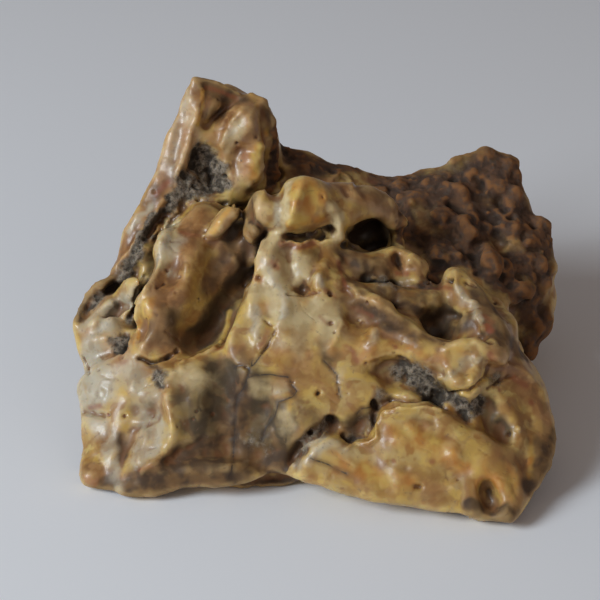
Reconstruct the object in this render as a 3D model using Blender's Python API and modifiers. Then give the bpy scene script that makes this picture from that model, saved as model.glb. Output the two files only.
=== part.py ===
"""Desert quartz stone: one wind-worn, silica-varnished lump, about 125 mm wide, resting on a worn flat.

The stone is built up like clay. Rock masses (convex hulls) and limbs (tapered tubes) are united, wedges and
winding holes are cut out of them, and the whole gets an even skin of small faces. Ridges, grooves, ledges and
pits are then pressed into that skin, the faces are thinned out, and the underside is worn flat.

The display face is laid out on a sheet of squared paper, SHEET squares a side, counted right and down from
its top left corner. The sheet stands in the middle of the stone, square to the line of sight from EYE, which
looks down on the stone by TILT. Depths are in millimetres behind the sheet's plane, radii and heights in
millimetres. Positions marked at() are in millimetres from the sheet's middle, with heights over the flat.
"""

import math

import bmesh
import bpy
import numpy as np
from mathutils import Matrix, Vector, noise
from mathutils.bvhtree import BVHTree

MM = 0.001
SQUARE = 0.25 * MM
SHEET = 600
TILT = math.radians(30)
EYE_DISTANCE = 0.5
CENTRE = Vector((0, 0, 33.7)) * MM

SKIN_VOXEL = 1.0 * MM
SKIN_SMOOTHING = 6
SKIN_FACES = 9400
FRONT_THINNING = 0.5  # how much more readily hidden faces are merged than those of the display side
SHARP_ANGLE = math.radians(40)

FRONT_WARP = (0.9 * MM, 5 * MM)  # how far strokes wander off their paths, and over what length
BACK_WARP = (1.6 * MM, 9 * MM)
DRIFT_SEEDS = (3.7, 5.1, 8.3)
LUMPS = ((11, 1.2, 5), (5, 0.7, 8))  # size and height in millimetres, and a seed

KNOB_COUNT = 700
KNOB_SEED = 11
KNOB_HEIGHTS = (0.8, 2.0)
KNOB_RADII = (3.0, 6.0)
PIT_SHARE = 0.35
KNOB_FLOOR = 5 * MM
HIDDEN_FROM = 0.2  # cosine to the line of sight past which a side counts as hidden
FAR = 0.3

AWAY = Vector((0, math.cos(TILT), -math.sin(TILT)))
UP = Vector((0, math.sin(TILT), math.cos(TILT)))
RIGHT = Vector((1, 0, 0))
EYE = CENTRE - AWAY * EYE_DISTANCE


def at(x, y, z):
    """A point in millimetres right of and behind the sheet's middle, and over the resting flat."""
    return Vector((x, y, z)) * MM


def seen(right, down, depth):
    """The point seen through a sheet square, at a depth in millimetres behind the sheet."""
    spread = 1 + depth * MM / EYE_DISTANCE
    across = (right - SHEET / 2) * SQUARE * spread
    up = (SHEET / 2 - down) * SQUARE * spread
    return CENTRE + RIGHT * across + UP * up + AWAY * (depth * MM)


# Rock masses, each the convex hull of its corners.
CHUNKS = {
    "thumb_mass": [
        seen(446, 276, 0), seen(470, 270, 2), seen(480, 286, 2), seen(502, 300, 2), seen(511, 325, -3),
        seen(509, 352, -8), seen(482, 342, -13), seen(464, 312, -8), seen(444, 290, -2), seen(460, 290, 14),
        seen(500, 330, 8),
    ],
    "core": [
        seen(120, 490, -8), seen(300, 470, -16), seen(500, 515, -22), seen(530, 400, -4), seen(85, 380, 2),
        seen(100, 310, 8), seen(195, 235, 13), seen(290, 225, 12), seen(390, 250, 18), seen(500, 300, 10),
        seen(350, 330, -8), seen(220, 400, -12), at(52, 28, -2), at(20, 56, -2), at(-42, 36, -2),
        at(-22, 46, 40), at(40, 40, 30),
    ],
    "front_right": [
        seen(270, 478, -22), seen(300, 472, -23), seen(356, 480, -26), seen(440, 513, -29),
        seen(517, 527, -31), seen(548, 484, -22), seen(563, 438, -14), seen(550, 388, -8),
        seen(504, 346, -14), seen(452, 346, -20), seen(378, 312, -13), seen(330, 345, -17),
        seen(258, 400, -19), seen(470, 300, 8), seen(520, 335, 10), at(50, 20, -2), at(0, 0, -2),
        seen(505, 524, -20),
    ],
    "front_left": [
        seen(128, 502, -19), seen(98, 495, -17), seen(80, 482, -13), seen(250, 486, -20), seen(84, 440, -8),
        seen(76, 415, -5), seen(74, 336, 2), seen(140, 335, -6), seen(190, 368, -14), seen(235, 352, -12),
        seen(168, 385, -17), seen(175, 438, -19), seen(158, 462, -20), seen(262, 400, -18),
        seen(262, 440, -20), seen(268, 474, -20), seen(195, 495, -20), at(-44, 20, -2), at(0, 10, -2),
        at(-35, 20, 20),
    ],
    "snout": [
        seen(283, 232, -6), seen(262, 240, -5), seen(246, 288, -11), seen(226, 316, -13),
        seen(222, 345, -15), seen(255, 400, -20), seen(330, 350, -18), seen(378, 312, -12),
        seen(350, 280, -8), seen(335, 244, -3), seen(300, 260, 14), seen(380, 300, 10), seen(240, 350, 6),
    ],
    "slab": [
        seen(196, 201, 4), seen(170, 219, 3), seen(236, 212, 5), seen(163, 244, -1), seen(186, 256, -6),
        seen(185, 280, -8), seen(144, 316, -12), seen(133, 325, -8), seen(139, 359, -12),
        seen(186, 354, -5), seen(240, 285, 3), seen(255, 240, 6), seen(150, 300, 8), seen(230, 230, 16),
        seen(137, 296, -5),
    ],
    "tower": [
        seen(190, 72, 9), seen(168, 130, 10), seen(149, 195, 10), seen(122, 244, 9), seen(240, 92, 10),
        seen(277, 112, 12), seen(284, 190, 16), seen(200, 215, 8), seen(200, 84, 22), seen(266, 104, 28),
        seen(287, 180, 40), at(-41, 38, 20), at(-10, 55, 20),
    ],
    "rim": [
        seen(164, 158, 11), seen(118, 243, 10), seen(68, 322, 5), seen(74, 340, 1), seen(130, 310, 6),
        seen(190, 215, 13), at(-42, 28, 10), at(-46, 0, 5), seen(90, 280, 10), seen(160, 225, 24),
    ],
    "back": [
        seen(407, 170, 34), seen(446, 166, 35), seen(484, 152, 36), seen(506, 160, 36), seen(522, 192, 35),
        seen(550, 222, 33), seen(556, 265, 29), seen(549, 330, 28), seen(531, 362, 26), seen(440, 200, 24),
        seen(515, 260, 18), seen(500, 320, 6), seen(400, 215, 22), at(30, 62, 2), at(52, 52, -2),
        at(56, 28, -2), at(20, 40, -2), seen(380, 176, 34), at(38, 58, 30),
    ],
    "saddle": [
        seen(280, 140, 30), seen(306, 150, 30), seen(335, 161, 31), seen(385, 171, 33), seen(300, 210, 14),
        seen(395, 235, 20), at(-20, 56, 4), at(20, 60, 4), at(0, 20, -2), seen(450, 260, 20),
    ],
}

# Tapered limbs: (right, down, depth, radius) of the balls that each is wrapped round.
LIMBS = {
    "nose": [(258, 218, 0, 4.6), (276, 206, -3, 6.4), (298, 202, -5, 7.4), (326, 205, -1, 6.4),
        (352, 206, 3, 6.0),
             (376, 208, 7, 5.4), (391, 216, 8, 4.0)],
    "drip": [(346, 212, -2, 4.2), (337, 233, -3, 2.2)],
    "cheekbone": [(394, 216, 12, 3.0), (396, 236, 13, 2.4), (400, 254, 8, 2.4)],
    "scroll": [(328, 246, -3, 2.2), (347, 260, -2, 2.8), (368, 268, 0, 3.6), (388, 262, 1, 3.8),
        (404, 257, 2, 2.8),
               (419, 264, 2, 3.2), (420, 275, 2, 2.8), (408, 282, 1, 2.2)],
    "band": [(364, 287, -6, 2.5), (400, 298, -4, 3.2), (438, 303, -2, 3.0)],
    "thumb": [(456, 280, 0, 3.8), (463, 295, -3, 5.0), (475, 308, -6, 5.0), (486, 324, -10, 4.4),
              (496, 340, -13, 4.2)],
    "knuckle": [(497, 302, -1, 2.6), (505, 325, -5, 3.0), (506, 345, -9, 3.4)],
    "lip": [(353, 288, -9, 2.0), (378, 309, -12, 2.4), (402, 324, -14, 2.4), (430, 345, -18, 2.2),
            (455, 350, -20, 2.2), (480, 346, -20, 2.8), (497, 354, -18, 3.4)],
    "nub": [(215, 232, 0, 1.6), (228, 213, 0, 2.4)],
    "horn_a": [(486, 157, 35, 4.0), (478, 172, 33, 4.0)],
    "horn_b": [(504, 164, 34, 3.4), (498, 176, 33, 4.0)],
    "horn_c": [(457, 163, 35, 3.0), (458, 174, 33, 3.0)],
    "horn_d": [(513, 190, 34, 3.6), (504, 198, 32, 4.0)],
    "horn_e": [(538, 226, 33, 4.4), (528, 236, 31, 4.0)],
    "horn_g": [(545, 266, 29, 4.2), (534, 272, 27, 4.0)],
    "horn_h": [(543, 298, 29, 4.2), (532, 300, 27, 4.0)],
    "horn_i": [(541, 328, 28, 3.8), (530, 330, 26, 4.0)],
}

# Hollows cut out of the fused mass: wedges between corners, and winding holes given like the limbs.
WEDGES = {
    "gorge_top": [
        seen(262, 254, -16), seen(249, 264, -16), seen(226, 297, -16), seen(247, 297, -16),
        seen(262, 254, -5), seen(249, 264, -3), seen(226, 297, -3), seen(247, 297, -6), seen(257, 260, 9),
        seen(240, 288, 10),
    ],
    "gorge_foot": [
        seen(226, 294, -24), seen(247, 294, -24), seen(226, 320, -24), seen(221, 345, -24),
        seen(186, 360, -24), seen(180, 353, -24), seen(206, 316, -24), seen(226, 294, -8),
        seen(246, 294, -8), seen(222, 342, -10), seen(188, 358, -11), seen(182, 353, -9), seen(238, 300, 8),
        seen(214, 328, 4), seen(202, 342, 1),
    ],
    "gully_top": [
        seen(198, 201, -12), seen(171, 219, -12), seen(151, 256, -12), seen(136, 251, -12),
        seen(155, 219, -12), seen(170, 199, -12), seen(196, 203, 8), seen(171, 220, 8), seen(151, 256, 8),
        seen(138, 250, 8), seen(157, 219, 8), seen(172, 201, 8), seen(178, 210, 17), seen(152, 244, 13),
    ],
    "gully_foot": [
        seen(150, 248, -12), seen(138, 280, -12), seen(100, 303, -12), seen(82, 317, -12),
        seen(80, 312, -12), seen(98, 291, -12), seen(136, 250, -12), seen(148, 250, 6), seen(136, 278, 4),
        seen(100, 302, 2), seen(84, 315, 1), seen(98, 292, 4), seen(138, 252, 6), seen(142, 256, 12),
        seen(124, 281, 9), seen(100, 299, 6),
    ],
    "crotch": [
        seen(262, 160, 0), seen(292, 160, 0), seen(286, 186, 0), seen(264, 194, 0), seen(270, 165, 24),
        seen(284, 170, 26), seen(276, 190, 22),
    ],
}

HOLLOWS = {
    "mouth": [(352, 239, 0, 3.2), (368, 233, 5, 4.8), (372, 234, 14, 5.4), (372, 238, 24, 5.4)],
    "mouth_low": [(361, 246, -1, 1.8), (371, 244, 6, 2.8)],
    "mouth_side": [(380, 236, 2, 2.4), (389, 236, 8, 2.6)],
    "slit": [(290, 238, -8, 1.0), (306, 239, -5, 1.3), (326, 235, -1, 1.8)],
    "slit_deep": [(292, 238, -2, 0.9), (308, 238, 0, 1.2), (326, 232, 3, 1.8)],
    "ear": [(396, 262, -6, 1.8), (397, 265, 6, 1.9)],
    "under_scroll": [(346, 276, -8, 1.0), (362, 281, -5, 1.6), (392, 284, -2, 1.8), (414, 288, 0, 1.4)],
    "bowl": [(432, 322, -14, 3.4), (448, 326, -12, 4.2), (436, 322, -6, 5.2)],
    "bowl_side": [(452, 318, -14, 2.0), (470, 330, -18, 3.0)],
    "nook": [(487, 300, 4, 2.0), (486, 286, 8, 2.6)],
    "arch": [(250, 534, -30, 8.0), (330, 524, -30, 8.0), (300, 502, 0, 8.0)],
}

# Big hollows and swellings round the back: profile, height, half width and a path of (heading in degrees,
# height over the resting flat), heading 0 to the display side and 90 to the right.
FAR_RELIEF = {
    "back_gully": ("round", -7.0, 9.0, [(150, 28), (158, 18), (150, 6)]),
    "back_cove": ("round", -6.0, 10.0, [(196, 30), (204, 20)]),
    "back_rib": ("sharp", 4.0, 6.0, [(178, 40), (176, 26), (182, 6)]),
    "back_shelf": ("sharp", 3.0, 5.0, [(205, 44), (230, 36), (250, 40)]),
    "left_cove": ("round", -5.0, 9.0, [(262, 40), (256, 22)]),
    "left_rib": ("sharp", 3.5, 5.0, [(226, 44), (224, 30), (230, 8)]),
    "left_slot": ("round", -4.0, 4.0, [(282, 20), (292, 34)]),
    "right_cove": ("round", -6.0, 9.0, [(98, 22), (92, 10)]),
    "right_rib": ("sharp", 3.0, 5.0, [(112, 36), (116, 20), (110, 4)]),
    "right_slot": ("round", -4.0, 4.0, [(76, 8), (84, 24), (80, 36)]),
    "rear_pit": ("round", -5.0, 5.0, [(222, 16)]),
    "rear_pit_b": ("round", -4.0, 4.0, [(170, 18)]),
}

# Strokes pressed into the fused skin: profile, height (negative cuts in), half width (or left and right ones,
# looking along the path), and the path on the sheet.
RELIEF = {
    # tower
    "tower_edge": ("sharp", 1.8, 3.4, [(193, 82), (195, 118), (187, 150), (181, 175)]),
    "tower_notch": ("round", -3.2, 2.6, [(238, 98), (222, 108), (209, 122)]),
    "tower_lobe": ("round", 2.8, 5.5, [(246, 116), (238, 136)]),
    "tower_brow": ("round", 1.2, 3.0, [(262, 104), (252, 112)]),
    "tower_knee": ("round", 2.0, 4.5, [(250, 150), (252, 178)]),
    "tower_pocket": ("flat", -3.6, 5.0, [(206, 158), (214, 184)]),
    "tower_slot": ("round", -1.6, 1.8, [(198, 150), (187, 176)]),
    "tower_dent": ("round", -1.2, 2.2, [(238, 146), (252, 152)]),
    "tower_flank": ("round", -6.0, 4.5, [(276, 160), (270, 190)]),
    # left rim and its gully
    "rim_crest": ("round", 1.2, 3.0, [(160, 200), (140, 240), (112, 270), (88, 292), (76, 322)]),
    "gully_cut": ("round", -3.2, 3.0, [(196, 196), (170, 214), (152, 238), (134, 270), (112, 292),
        (86, 316)]),
    # slab
    "slab_edge": ("sharp", 1.6, 2.8, [(178, 214), (164, 248), (152, 282), (141, 298), (136, 330),
        (136, 354)]),
    "slab_cup": ("round", -1.4, 3.0, [(174, 262), (166, 282)]),
    "slab_fin": ("sharp", 1.0, 2.0, [(183, 254), (185, 280), (172, 292)]),
    "slab_cheek": ("round", 1.2, 4.5, [(200, 250), (176, 318)]),
    "slab_fold": ("round", -1.6, 2.4, [(243, 210), (238, 240), (214, 268)]),
    "slab_top": ("sharp", 1.0, 2.2, [(196, 204), (222, 210)]),
    # nose and snout
    "nose_dip": ("round", -1.4, 3.0, [(334, 186), (333, 214)]),
    "nose_pit": ("round", -1.8, 1.6, [(345, 188), (347, 196)]),
    "nose_flank": ("round", -1.6, 3.0, [(258, 222), (272, 230)]),
    "nose_cheek": ("round", 0.8, 3.5, [(292, 200), (292, 216)]),
    "snout_crest": ("sharp", 2.0, (2.6, 4.5), [(282, 234), (268, 258), (252, 284), (238, 302), (226, 318)]),
    "snout_rib": ("sharp", 1.4, 2.6, [(276, 262), (284, 290), (286, 310), (276, 330)]),
    "snout_dell": ("round", -2.0, 3.6, [(290, 252), (292, 276)]),
    "snout_lobe": ("round", 1.4, 3.6, [(318, 262), (314, 284)]),
    "snout_well": ("round", -2.6, 2.4, [(300, 284), (304, 294)]),
    "snout_well_b": ("round", -1.8, 1.8, [(330, 292), (334, 296)]),
    "snout_shelf": ("round", 1.4, 3.2, [(286, 300), (322, 292), (342, 300)]),
    "snout_toe": ("sharp", 1.4, 2.2, [(224, 318), (224, 342), (212, 352)]),
    "snout_knot": ("round", 1.2, 2.4, [(264, 326), (260, 340)]),
    # the face under the rim
    "face_step": ("sharp", 1.6, (1.4, 5.0), [(340, 318), (332, 344), (324, 362)]),
    "face_vale": ("round", -1.6, 3.4, [(340, 296), (356, 312), (364, 326)]),
    "face_swell": ("round", 1.4, 5.0, [(374, 332), (372, 350)]),
    "face_plain": ("round", 0.8, 7.0, [(290, 322), (292, 350)]),
    "lip_crest": ("sharp", 1.6, (2.0, 4.0), [(362, 294), (388, 314), (420, 334), (446, 346), (470, 340)]),
    "ash_pocket": ("flat", -4.5, 5.0, [(392, 374), (412, 376), (434, 388)]),
    "eye_lid": ("sharp", 1.0, (3.0, 1.2), [(366, 366), (392, 354), (416, 354), (444, 366)]),
    "grape_a": ("round", 1.6, 3.6, [(478, 362), (474, 378)]),
    "grape_b": ("round", 1.0, 2.2, [(452, 376), (456, 388)]),
    "corner_ridge": ("sharp", 1.4, 3.4, [(492, 346), (520, 366), (544, 394)]),
    # jagged break and the apron under it
    "break_a": ("round", -3.2, 2.8, [(286, 466), (304, 444), (330, 425)]),
    "break_b": ("round", -3.0, 2.8, [(334, 428), (350, 438), (374, 408), (396, 394)]),
    "break_c": ("flat", -3.4, 3.6, [(440, 398), (456, 406), (474, 418)]),
    "break_d": ("flat", -3.8, 4.2, [(488, 406), (494, 420), (506, 430)]),
    "apron_lip_a": ("sharp", 1.6, (1.2, 4.0), [(300, 462), (310, 446), (328, 434), (342, 440)]),
    "apron_lip_b": ("sharp", 1.4, (1.2, 4.0), [(352, 446), (378, 436), (398, 410), (430, 406)]),
    "apron_swell": ("round", 1.4, 8.0, [(400, 450), (450, 450)]),
    "apron_dip": ("round", -1.2, 4.0, [(470, 470), (440, 480)]),
    "apron_pit": ("round", -3.6, 3.6, [(488, 486), (492, 504)]),
    "apron_pore": ("round", -1.4, 1.6, [(417, 488)]),
    "corner_groove": ("round", -1.8, 2.2, [(526, 404), (530, 440), (526, 470)]),
    "corner_bead": ("round", 1.2, 3.0, [(508, 516)]),
    # central panes and the dark foot
    "pane_a": ("flat", -1.0, 5.0, [(262, 396), (254, 424)]),
    "pane_b": ("round", 1.2, 6.0, [(300, 410), (290, 436)]),
    "foot_dark": ("flat", -1.4, 4.0, [(262, 462), (290, 462)]),
    "foot_dark_b": ("round", -1.8, 2.6, [(196, 452), (224, 448), (250, 456)]),
    "foot_lip": ("sharp", 1.6, 2.4, [(160, 470), (200, 472), (240, 466), (262, 474)]),
    # left cheek
    "cheek_crest": ("sharp", 1.8, (4.0, 2.6), [(166, 380), (170, 404), (174, 434), (158, 458), (136, 478)]),
    "cheek_lobe": ("round", 1.6, 5.0, [(200, 380), (196, 410)]),
    "cheek_shelf": ("sharp", 1.4, 2.6, [(168, 378), (196, 366), (214, 352)]),
    "cheek_seam": ("round", -1.6, 4.4, [(132, 412), (146, 416), (158, 408)]),
    "cheek_gouge": ("round", -2.0, 2.6, [(130, 430), (124, 446), (119, 466)]),
    "cheek_gouge_b": ("round", -1.4, 2.4, [(106, 430), (102, 452)]),
    "cheek_pit": ("flat", -2.6, 2.6, [(122, 338), (120, 350)]),
    "cheek_rib": ("sharp", 1.4, 2.6, [(86, 330), (96, 356), (100, 384)]),
    "cheek_rib_b": ("sharp", 1.2, 2.6, [(126, 318), (136, 362), (132, 392)]),
    "cheek_slit": ("round", -1.6, 1.4, [(136, 306), (128, 320)]),
    "cheek_knob": ("round", 2.6, 4.4, [(90, 478)]),
    "cheek_toe": ("round", 1.6, 3.6, [(124, 490)]),
    "cheek_bulge": ("round", 1.2, 4.0, [(86, 424)]),
    "cheek_bite": ("round", -1.6, 3.2, [(84, 448)]),
}

# Knobs on the brown back: place on the sheet, radius and height.
KNOBS = [
    (455, 162, 4.0, 1.4), (432, 180, 5.0, 1.4), (407, 182, 5.0, 1.4), (515, 195, 4.2, 1.4),
    (490, 184, 4.6, 2.0), (460, 190, 4.4, 1.8), (518, 226, 4.8, 2.2), (532, 232, 4.6, 1.8),
    (490, 262, 6.0, 3.4),
    (468, 230, 4.6, 2.0), (444, 214, 4.4, 1.8), (434, 254, 4.4, 2.6), (524, 290, 5.4, 2.2),
    (538, 268, 5.0, 2.0),
    (545, 246, 4.4, 1.2), (540, 326, 4.6, 1.6), (528, 344, 4.4, 1.4), (470, 208, 4.0, 1.8),
    (505, 208, 3.6, 1.8),
    (420, 228, 3.8, 1.4), (412, 200, 4.0, 1.6), (356, 176, 4.0, 1.4), (330, 174, 4.0, 1.0),
    (303, 164, 4.4, 1.2),
    (530, 255, 4.0, 1.8), (512, 320, 4.0, 1.8), (528, 312, 3.4, 1.4), (484, 215, 4.0, -1.6),
    (455, 206, 4.0, -1.6),
    (504, 250, 3.6, -1.8), (506, 280, 4.0, -2.0), (474, 250, 4.0, -2.0), (450, 236, 3.6, -1.6),
    (430, 204, 4.0, -1.6), (520, 270, 3.0, -1.4),
]


def mesh_object(name, shape, collection):
    """Turns a bmesh into an object of a collection."""
    mesh = bpy.data.meshes.new(name)
    shape.to_mesh(mesh)
    shape.free()
    obj = bpy.data.objects.new(name, mesh)
    collection.objects.link(obj)
    return obj


def new_collection(name):
    collection = bpy.data.collections.new(name)
    bpy.context.scene.collection.children.link(collection)
    return collection


def chunk(name, corners, collection):
    """An angular rock mass: the convex hull of its corners."""
    shape = bmesh.new()
    for corner in corners:
        shape.verts.new(corner)
    hull = bmesh.ops.convex_hull(shape, input=shape.verts)
    bmesh.ops.delete(shape, geom=hull["geom_interior"], context="VERTS")
    return mesh_object(name, shape, collection)


def ball_points(centre, radius):
    """The corners of a small ball."""
    shape = bmesh.new()
    bmesh.ops.create_icosphere(shape, subdivisions=2, radius=radius)
    points = [vert.co + centre for vert in shape.verts]
    shape.free()
    return points


def limb(name, path, collection):
    """Tapered tubes end to end: balls along the path, each neighbouring pair wrapped in its convex hull."""
    balls = [ball_points(seen(right, down, depth), radius * MM) for right, down, depth, radius in path]
    for first, second in zip(balls, balls[1:]):
        chunk(name, first + second, collection)


def apply_modifier(obj, kind, **values):
    modifier = obj.modifiers.new(kind.title(), kind)
    for key, value in values.items():
        setattr(modifier, key, value)
    with bpy.context.temp_override(object=obj, active_object=obj):
        bpy.ops.object.modifier_apply(modifier=modifier.name)


def fuse(name, chunks, limbs, collection):
    """One closed body, in a collection, from the hulls of its corners and its tapered limbs."""
    pieces = new_collection("pieces")
    for key, corners in chunks.items():
        chunk(key, corners, pieces)
    for key, path in limbs.items():
        limb(key, path, pieces)
    body = pieces.objects[0]
    collection.objects.link(body)
    pieces.objects.unlink(body)
    body.name = body.data.name = name
    apply_modifier(body, "BOOLEAN", operation="UNION", operand_type="COLLECTION", collection=pieces)
    for used in list(pieces.objects):
        bpy.data.objects.remove(used)
    bpy.data.collections.remove(pieces)
    return body


def smooth_noise(points, size, seed):
    """A smooth random value for each point, from about -1 to 1, that varies over a length of size."""
    shift = Vector((seed, 2.3 * seed, -1.7 * seed))
    return np.array([noise.noise(Vector(point) / size + shift) for point in points])


def falloff(share, profile):
    """How much of a stroke's height is left at a share of its width from the path."""
    share = np.clip(share, 0, 1)
    if profile == "sharp":
        return (1 - share) ** 1.6
    if profile == "flat":
        edge = np.clip((share - 0.45) / 0.55, 0, 1)
        return 1 - edge * edge * (3 - 2 * edge)
    return (1 - share * share) ** 2


class Clay:
    """A mesh object whose vertices are moved by strokes laid out on the sheet."""

    def __init__(self, obj, warp, warp_size):
        mesh = obj.data
        self.obj = obj
        self.points = np.empty(len(mesh.vertices) * 3)
        mesh.vertices.foreach_get("co", self.points)
        self.points = self.points.reshape(-1, 3)
        self.normals = np.empty(len(mesh.vertices) * 3)
        mesh.vertex_normals.foreach_get("vector", self.normals)
        self.normals = self.normals.reshape(-1, 3)
        drift = [smooth_noise(self.points, warp_size, seed) for seed in DRIFT_SEEDS]
        self.felt = self.points + warp * np.stack(drift, axis=1)
        self.tree = BVHTree.FromPolygons(
            [Vector(point) for point in self.points], [polygon.vertices[:] for polygon in mesh.polygons]
        )
        self.shift = np.zeros_like(self.points)

    def find(self, right, down):
        """Where the line of sight through a sheet square meets the clay, or None."""
        place = self.tree.ray_cast(EYE, seen(right, down, 0) - EYE)[0]
        return None if place is None else np.array(place)

    def meet(self, middle, aim):
        """The outermost point of the clay along a line from its middle."""
        return np.array(self.tree.ray_cast(middle + aim * FAR, -aim)[0])

    def press(self, profile, height, width, path):
        """Raises or cuts the clay along a path on the sheet."""
        places = [place for place in (self.find(right, down) for right, down in path) if place is not None]
        if places:
            self.press_at(profile, height, width, np.array(places))

    def press_at(self, profile, height, width, places):
        """Raises or cuts the clay along a path of points in the row frame."""
        left, right = (width if isinstance(width, tuple) else (width, width))
        reach = max(left, right) * MM
        near = np.all((self.felt > places.min(0) - reach) & (self.felt < places.max(0) + reach), axis=1)
        index = np.nonzero(near)[0]
        felt = self.felt[index]
        best = np.full(len(index), np.inf)
        side = np.zeros(len(index))
        ends = places if len(places) > 1 else np.repeat(places, 2, axis=0)
        for start, end in zip(ends, ends[1:]):
            run = end - start
            share = np.clip((felt - start) @ run / max(run @ run, 1e-12), 0, 1)
            offset = felt - start - share[:, None] * run
            gap = np.linalg.norm(offset, axis=1)
            closer = gap < best
            best[closer] = gap[closer]
            side[closer] = (offset @ np.cross(-np.array(AWAY), run))[closer]
        reach_here = np.where(side >= 0, left, right) * MM
        weight = falloff(best / reach_here, profile)
        facing = (self.normals[index] * weight[:, None]).sum(0)
        facing /= np.linalg.norm(facing) + 1e-12
        away = self.normals[index] + facing
        away /= np.linalg.norm(away, axis=1)[:, None] + 1e-9
        self.shift[index] += away * (weight * height * MM)[:, None]

    def finish(self):
        self.obj.data.vertices.foreach_set("co", (self.points + self.shift).ravel())
        self.obj.data.update()


def rough_stone(home):
    """The fused masses with the hollows cut out, under an even skin of small faces."""
    stone = fuse("stone", CHUNKS, LIMBS, home)
    voids = fuse("voids", WEDGES, HOLLOWS, home)
    apply_modifier(stone, "BOOLEAN", operation="DIFFERENCE", object=voids)
    bpy.data.objects.remove(voids)
    apply_modifier(stone, "REMESH", mode="VOXEL", voxel_size=SKIN_VOXEL)
    apply_modifier(stone, "SMOOTH", factor=0.5, iterations=SKIN_SMOOTHING)
    return stone


def heading_vector(heading):
    """A level unit vector: heading 0 points to the display side, 90 to the right."""
    turn = math.radians(heading)
    return Vector((math.sin(turn), -math.cos(turn), 0))


def shape_front(stone):
    """Presses the relief and the knobs of the display side."""
    clay = Clay(stone, *FRONT_WARP)
    for stroke in RELIEF.values():
        clay.press(*stroke)
    for right, down, radius, height in KNOBS:
        clay.press("round", height, radius, [(right, down)])
    clay.finish()


def shape_back(stone):
    """Presses the big hollows and swellings of the far side."""
    clay = Clay(stone, *BACK_WARP)
    for profile, height, width, path in FAR_RELIEF.values():
        places = [clay.meet(at(0, 4, level), heading_vector(heading)) for heading, level in path]
        clay.press_at(profile, height, width, np.array(places))
    clay.finish()


def strew_knobs(stone):
    """Knobs and pits all over the sides that the display face doesn't show."""
    clay = Clay(stone, *FRONT_WARP)
    dice = np.random.default_rng(KNOB_SEED)
    for _ in range(KNOB_COUNT):
        aim = Vector(dice.normal(size=3)).normalized()
        height = dice.uniform(*KNOB_HEIGHTS) * dice.choice([-1, 1], p=[PIT_SHARE, 1 - PIT_SHARE])
        radius = dice.uniform(*KNOB_RADII)
        place = clay.meet(at(4, 4, 26), aim)
        if aim.dot(AWAY) > HIDDEN_FROM and place[2] > KNOB_FLOOR:
            clay.press_at("round", height, radius, np.array([place]))
    clay.finish()


def roughen(stone):
    """Lumps of every size over the whole skin."""
    clay = Clay(stone, *FRONT_WARP)
    for size, height, seed in LUMPS:
        clay.shift += clay.normals * smooth_noise(clay.points, size * MM, seed)[:, None] * height * MM
    clay.finish()


def thin_faces(stone):
    """Fewer and larger faces, the largest of them on the hidden sides."""
    group = stone.vertex_groups.new(name="hidden")
    for vert in stone.data.vertices:
        hidden = 0.5 + 0.5 * vert.normal.dot(AWAY)
        group.add([vert.index], FRONT_THINNING + (1 - FRONT_THINNING) * hidden, "REPLACE")
    ratio = SKIN_FACES / (2 * len(stone.data.polygons))
    apply_modifier(stone, "DECIMATE", ratio=ratio, vertex_group="hidden", vertex_group_factor=1.0)
    stone.vertex_groups.clear()


def wear_base(stone):
    """Wears the underside to one level flat, which the stone rests on."""
    shape = bmesh.new()
    shape.from_mesh(stone.data)
    geometry = shape.verts[:] + shape.edges[:] + shape.faces[:]
    bmesh.ops.bisect_plane(shape, geom=geometry, plane_co=(0, 0, 0), plane_no=(0, 0, 1), clear_inner=True)
    rim = [edge for edge in shape.edges if edge.is_boundary]
    bmesh.ops.triangle_fill(shape, edges=rim, use_beauty=True, normal=(0, 0, -1))
    bmesh.ops.triangulate(shape, faces=shape.faces)
    shape.to_mesh(stone.data)
    shape.free()
    stone.data.update()


def centre(stone):
    """Puts the origin under the middle of the stone's box, on the resting flat."""
    points = np.array([vert.co for vert in stone.data.vertices])
    middle = (points.min(axis=0) + points.max(axis=0)) / 2
    stone.data.transform(Matrix.Translation((-middle[0], -middle[1], 0)))
    stone.data.update()


def quartz():
    material = bpy.data.materials.new("desert_quartz")
    material.use_nodes = True
    shader = material.node_tree.nodes["Principled BSDF"]
    shader.inputs["Base Color"].default_value = (0.42, 0.27, 0.1, 1)
    shader.inputs["Roughness"].default_value = 0.32
    shader.inputs["Metallic"].default_value = 0
    return material


def main():
    for obj in list(bpy.data.objects):
        bpy.data.objects.remove(obj)
    stone = rough_stone(new_collection("desert_quartz_stone"))
    shape_back(stone)
    shape_front(stone)
    strew_knobs(stone)
    roughen(stone)
    apply_modifier(stone, "REMESH", mode="VOXEL", voxel_size=SKIN_VOXEL)
    apply_modifier(stone, "SMOOTH", factor=0.5, iterations=1)
    thin_faces(stone)
    wear_base(stone)
    centre(stone)
    stone.data.materials.append(quartz())
    stone.data.shade_smooth()
    stone.data.set_sharp_from_angle(angle=SHARP_ANGLE)


if __name__ == "__main__":
    main()
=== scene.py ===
"""Desert quartz stone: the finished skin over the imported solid, its material, light, floor and camera.

The solid has the stone's main forms. This script gives it a fine skin: it copies the solid, remeshes it
finely, presses in the creases, pits, seams and porous beds, strews knobs over the crust at the back, and
marks on every vertex which of the stone's coats lies there. One node-based material then colours the coats.

Positions on the display face are squares of a 600 by 600 sheet, counted right and down from its upper left
corner. A path is written as its positions in turn, "right,down right,down", and is traced onto the stone
along the lines of sight from EYE. A stroke is written as its height or strength, its half width (or that of
its left and of its right side) and its path. Sizes are in millimetres where MM isn't part of the value.
"""
import math

import bmesh
import bpy
import numpy as np
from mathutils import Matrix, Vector, kdtree, noise
from mathutils.bvhtree import BVHTree


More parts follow.
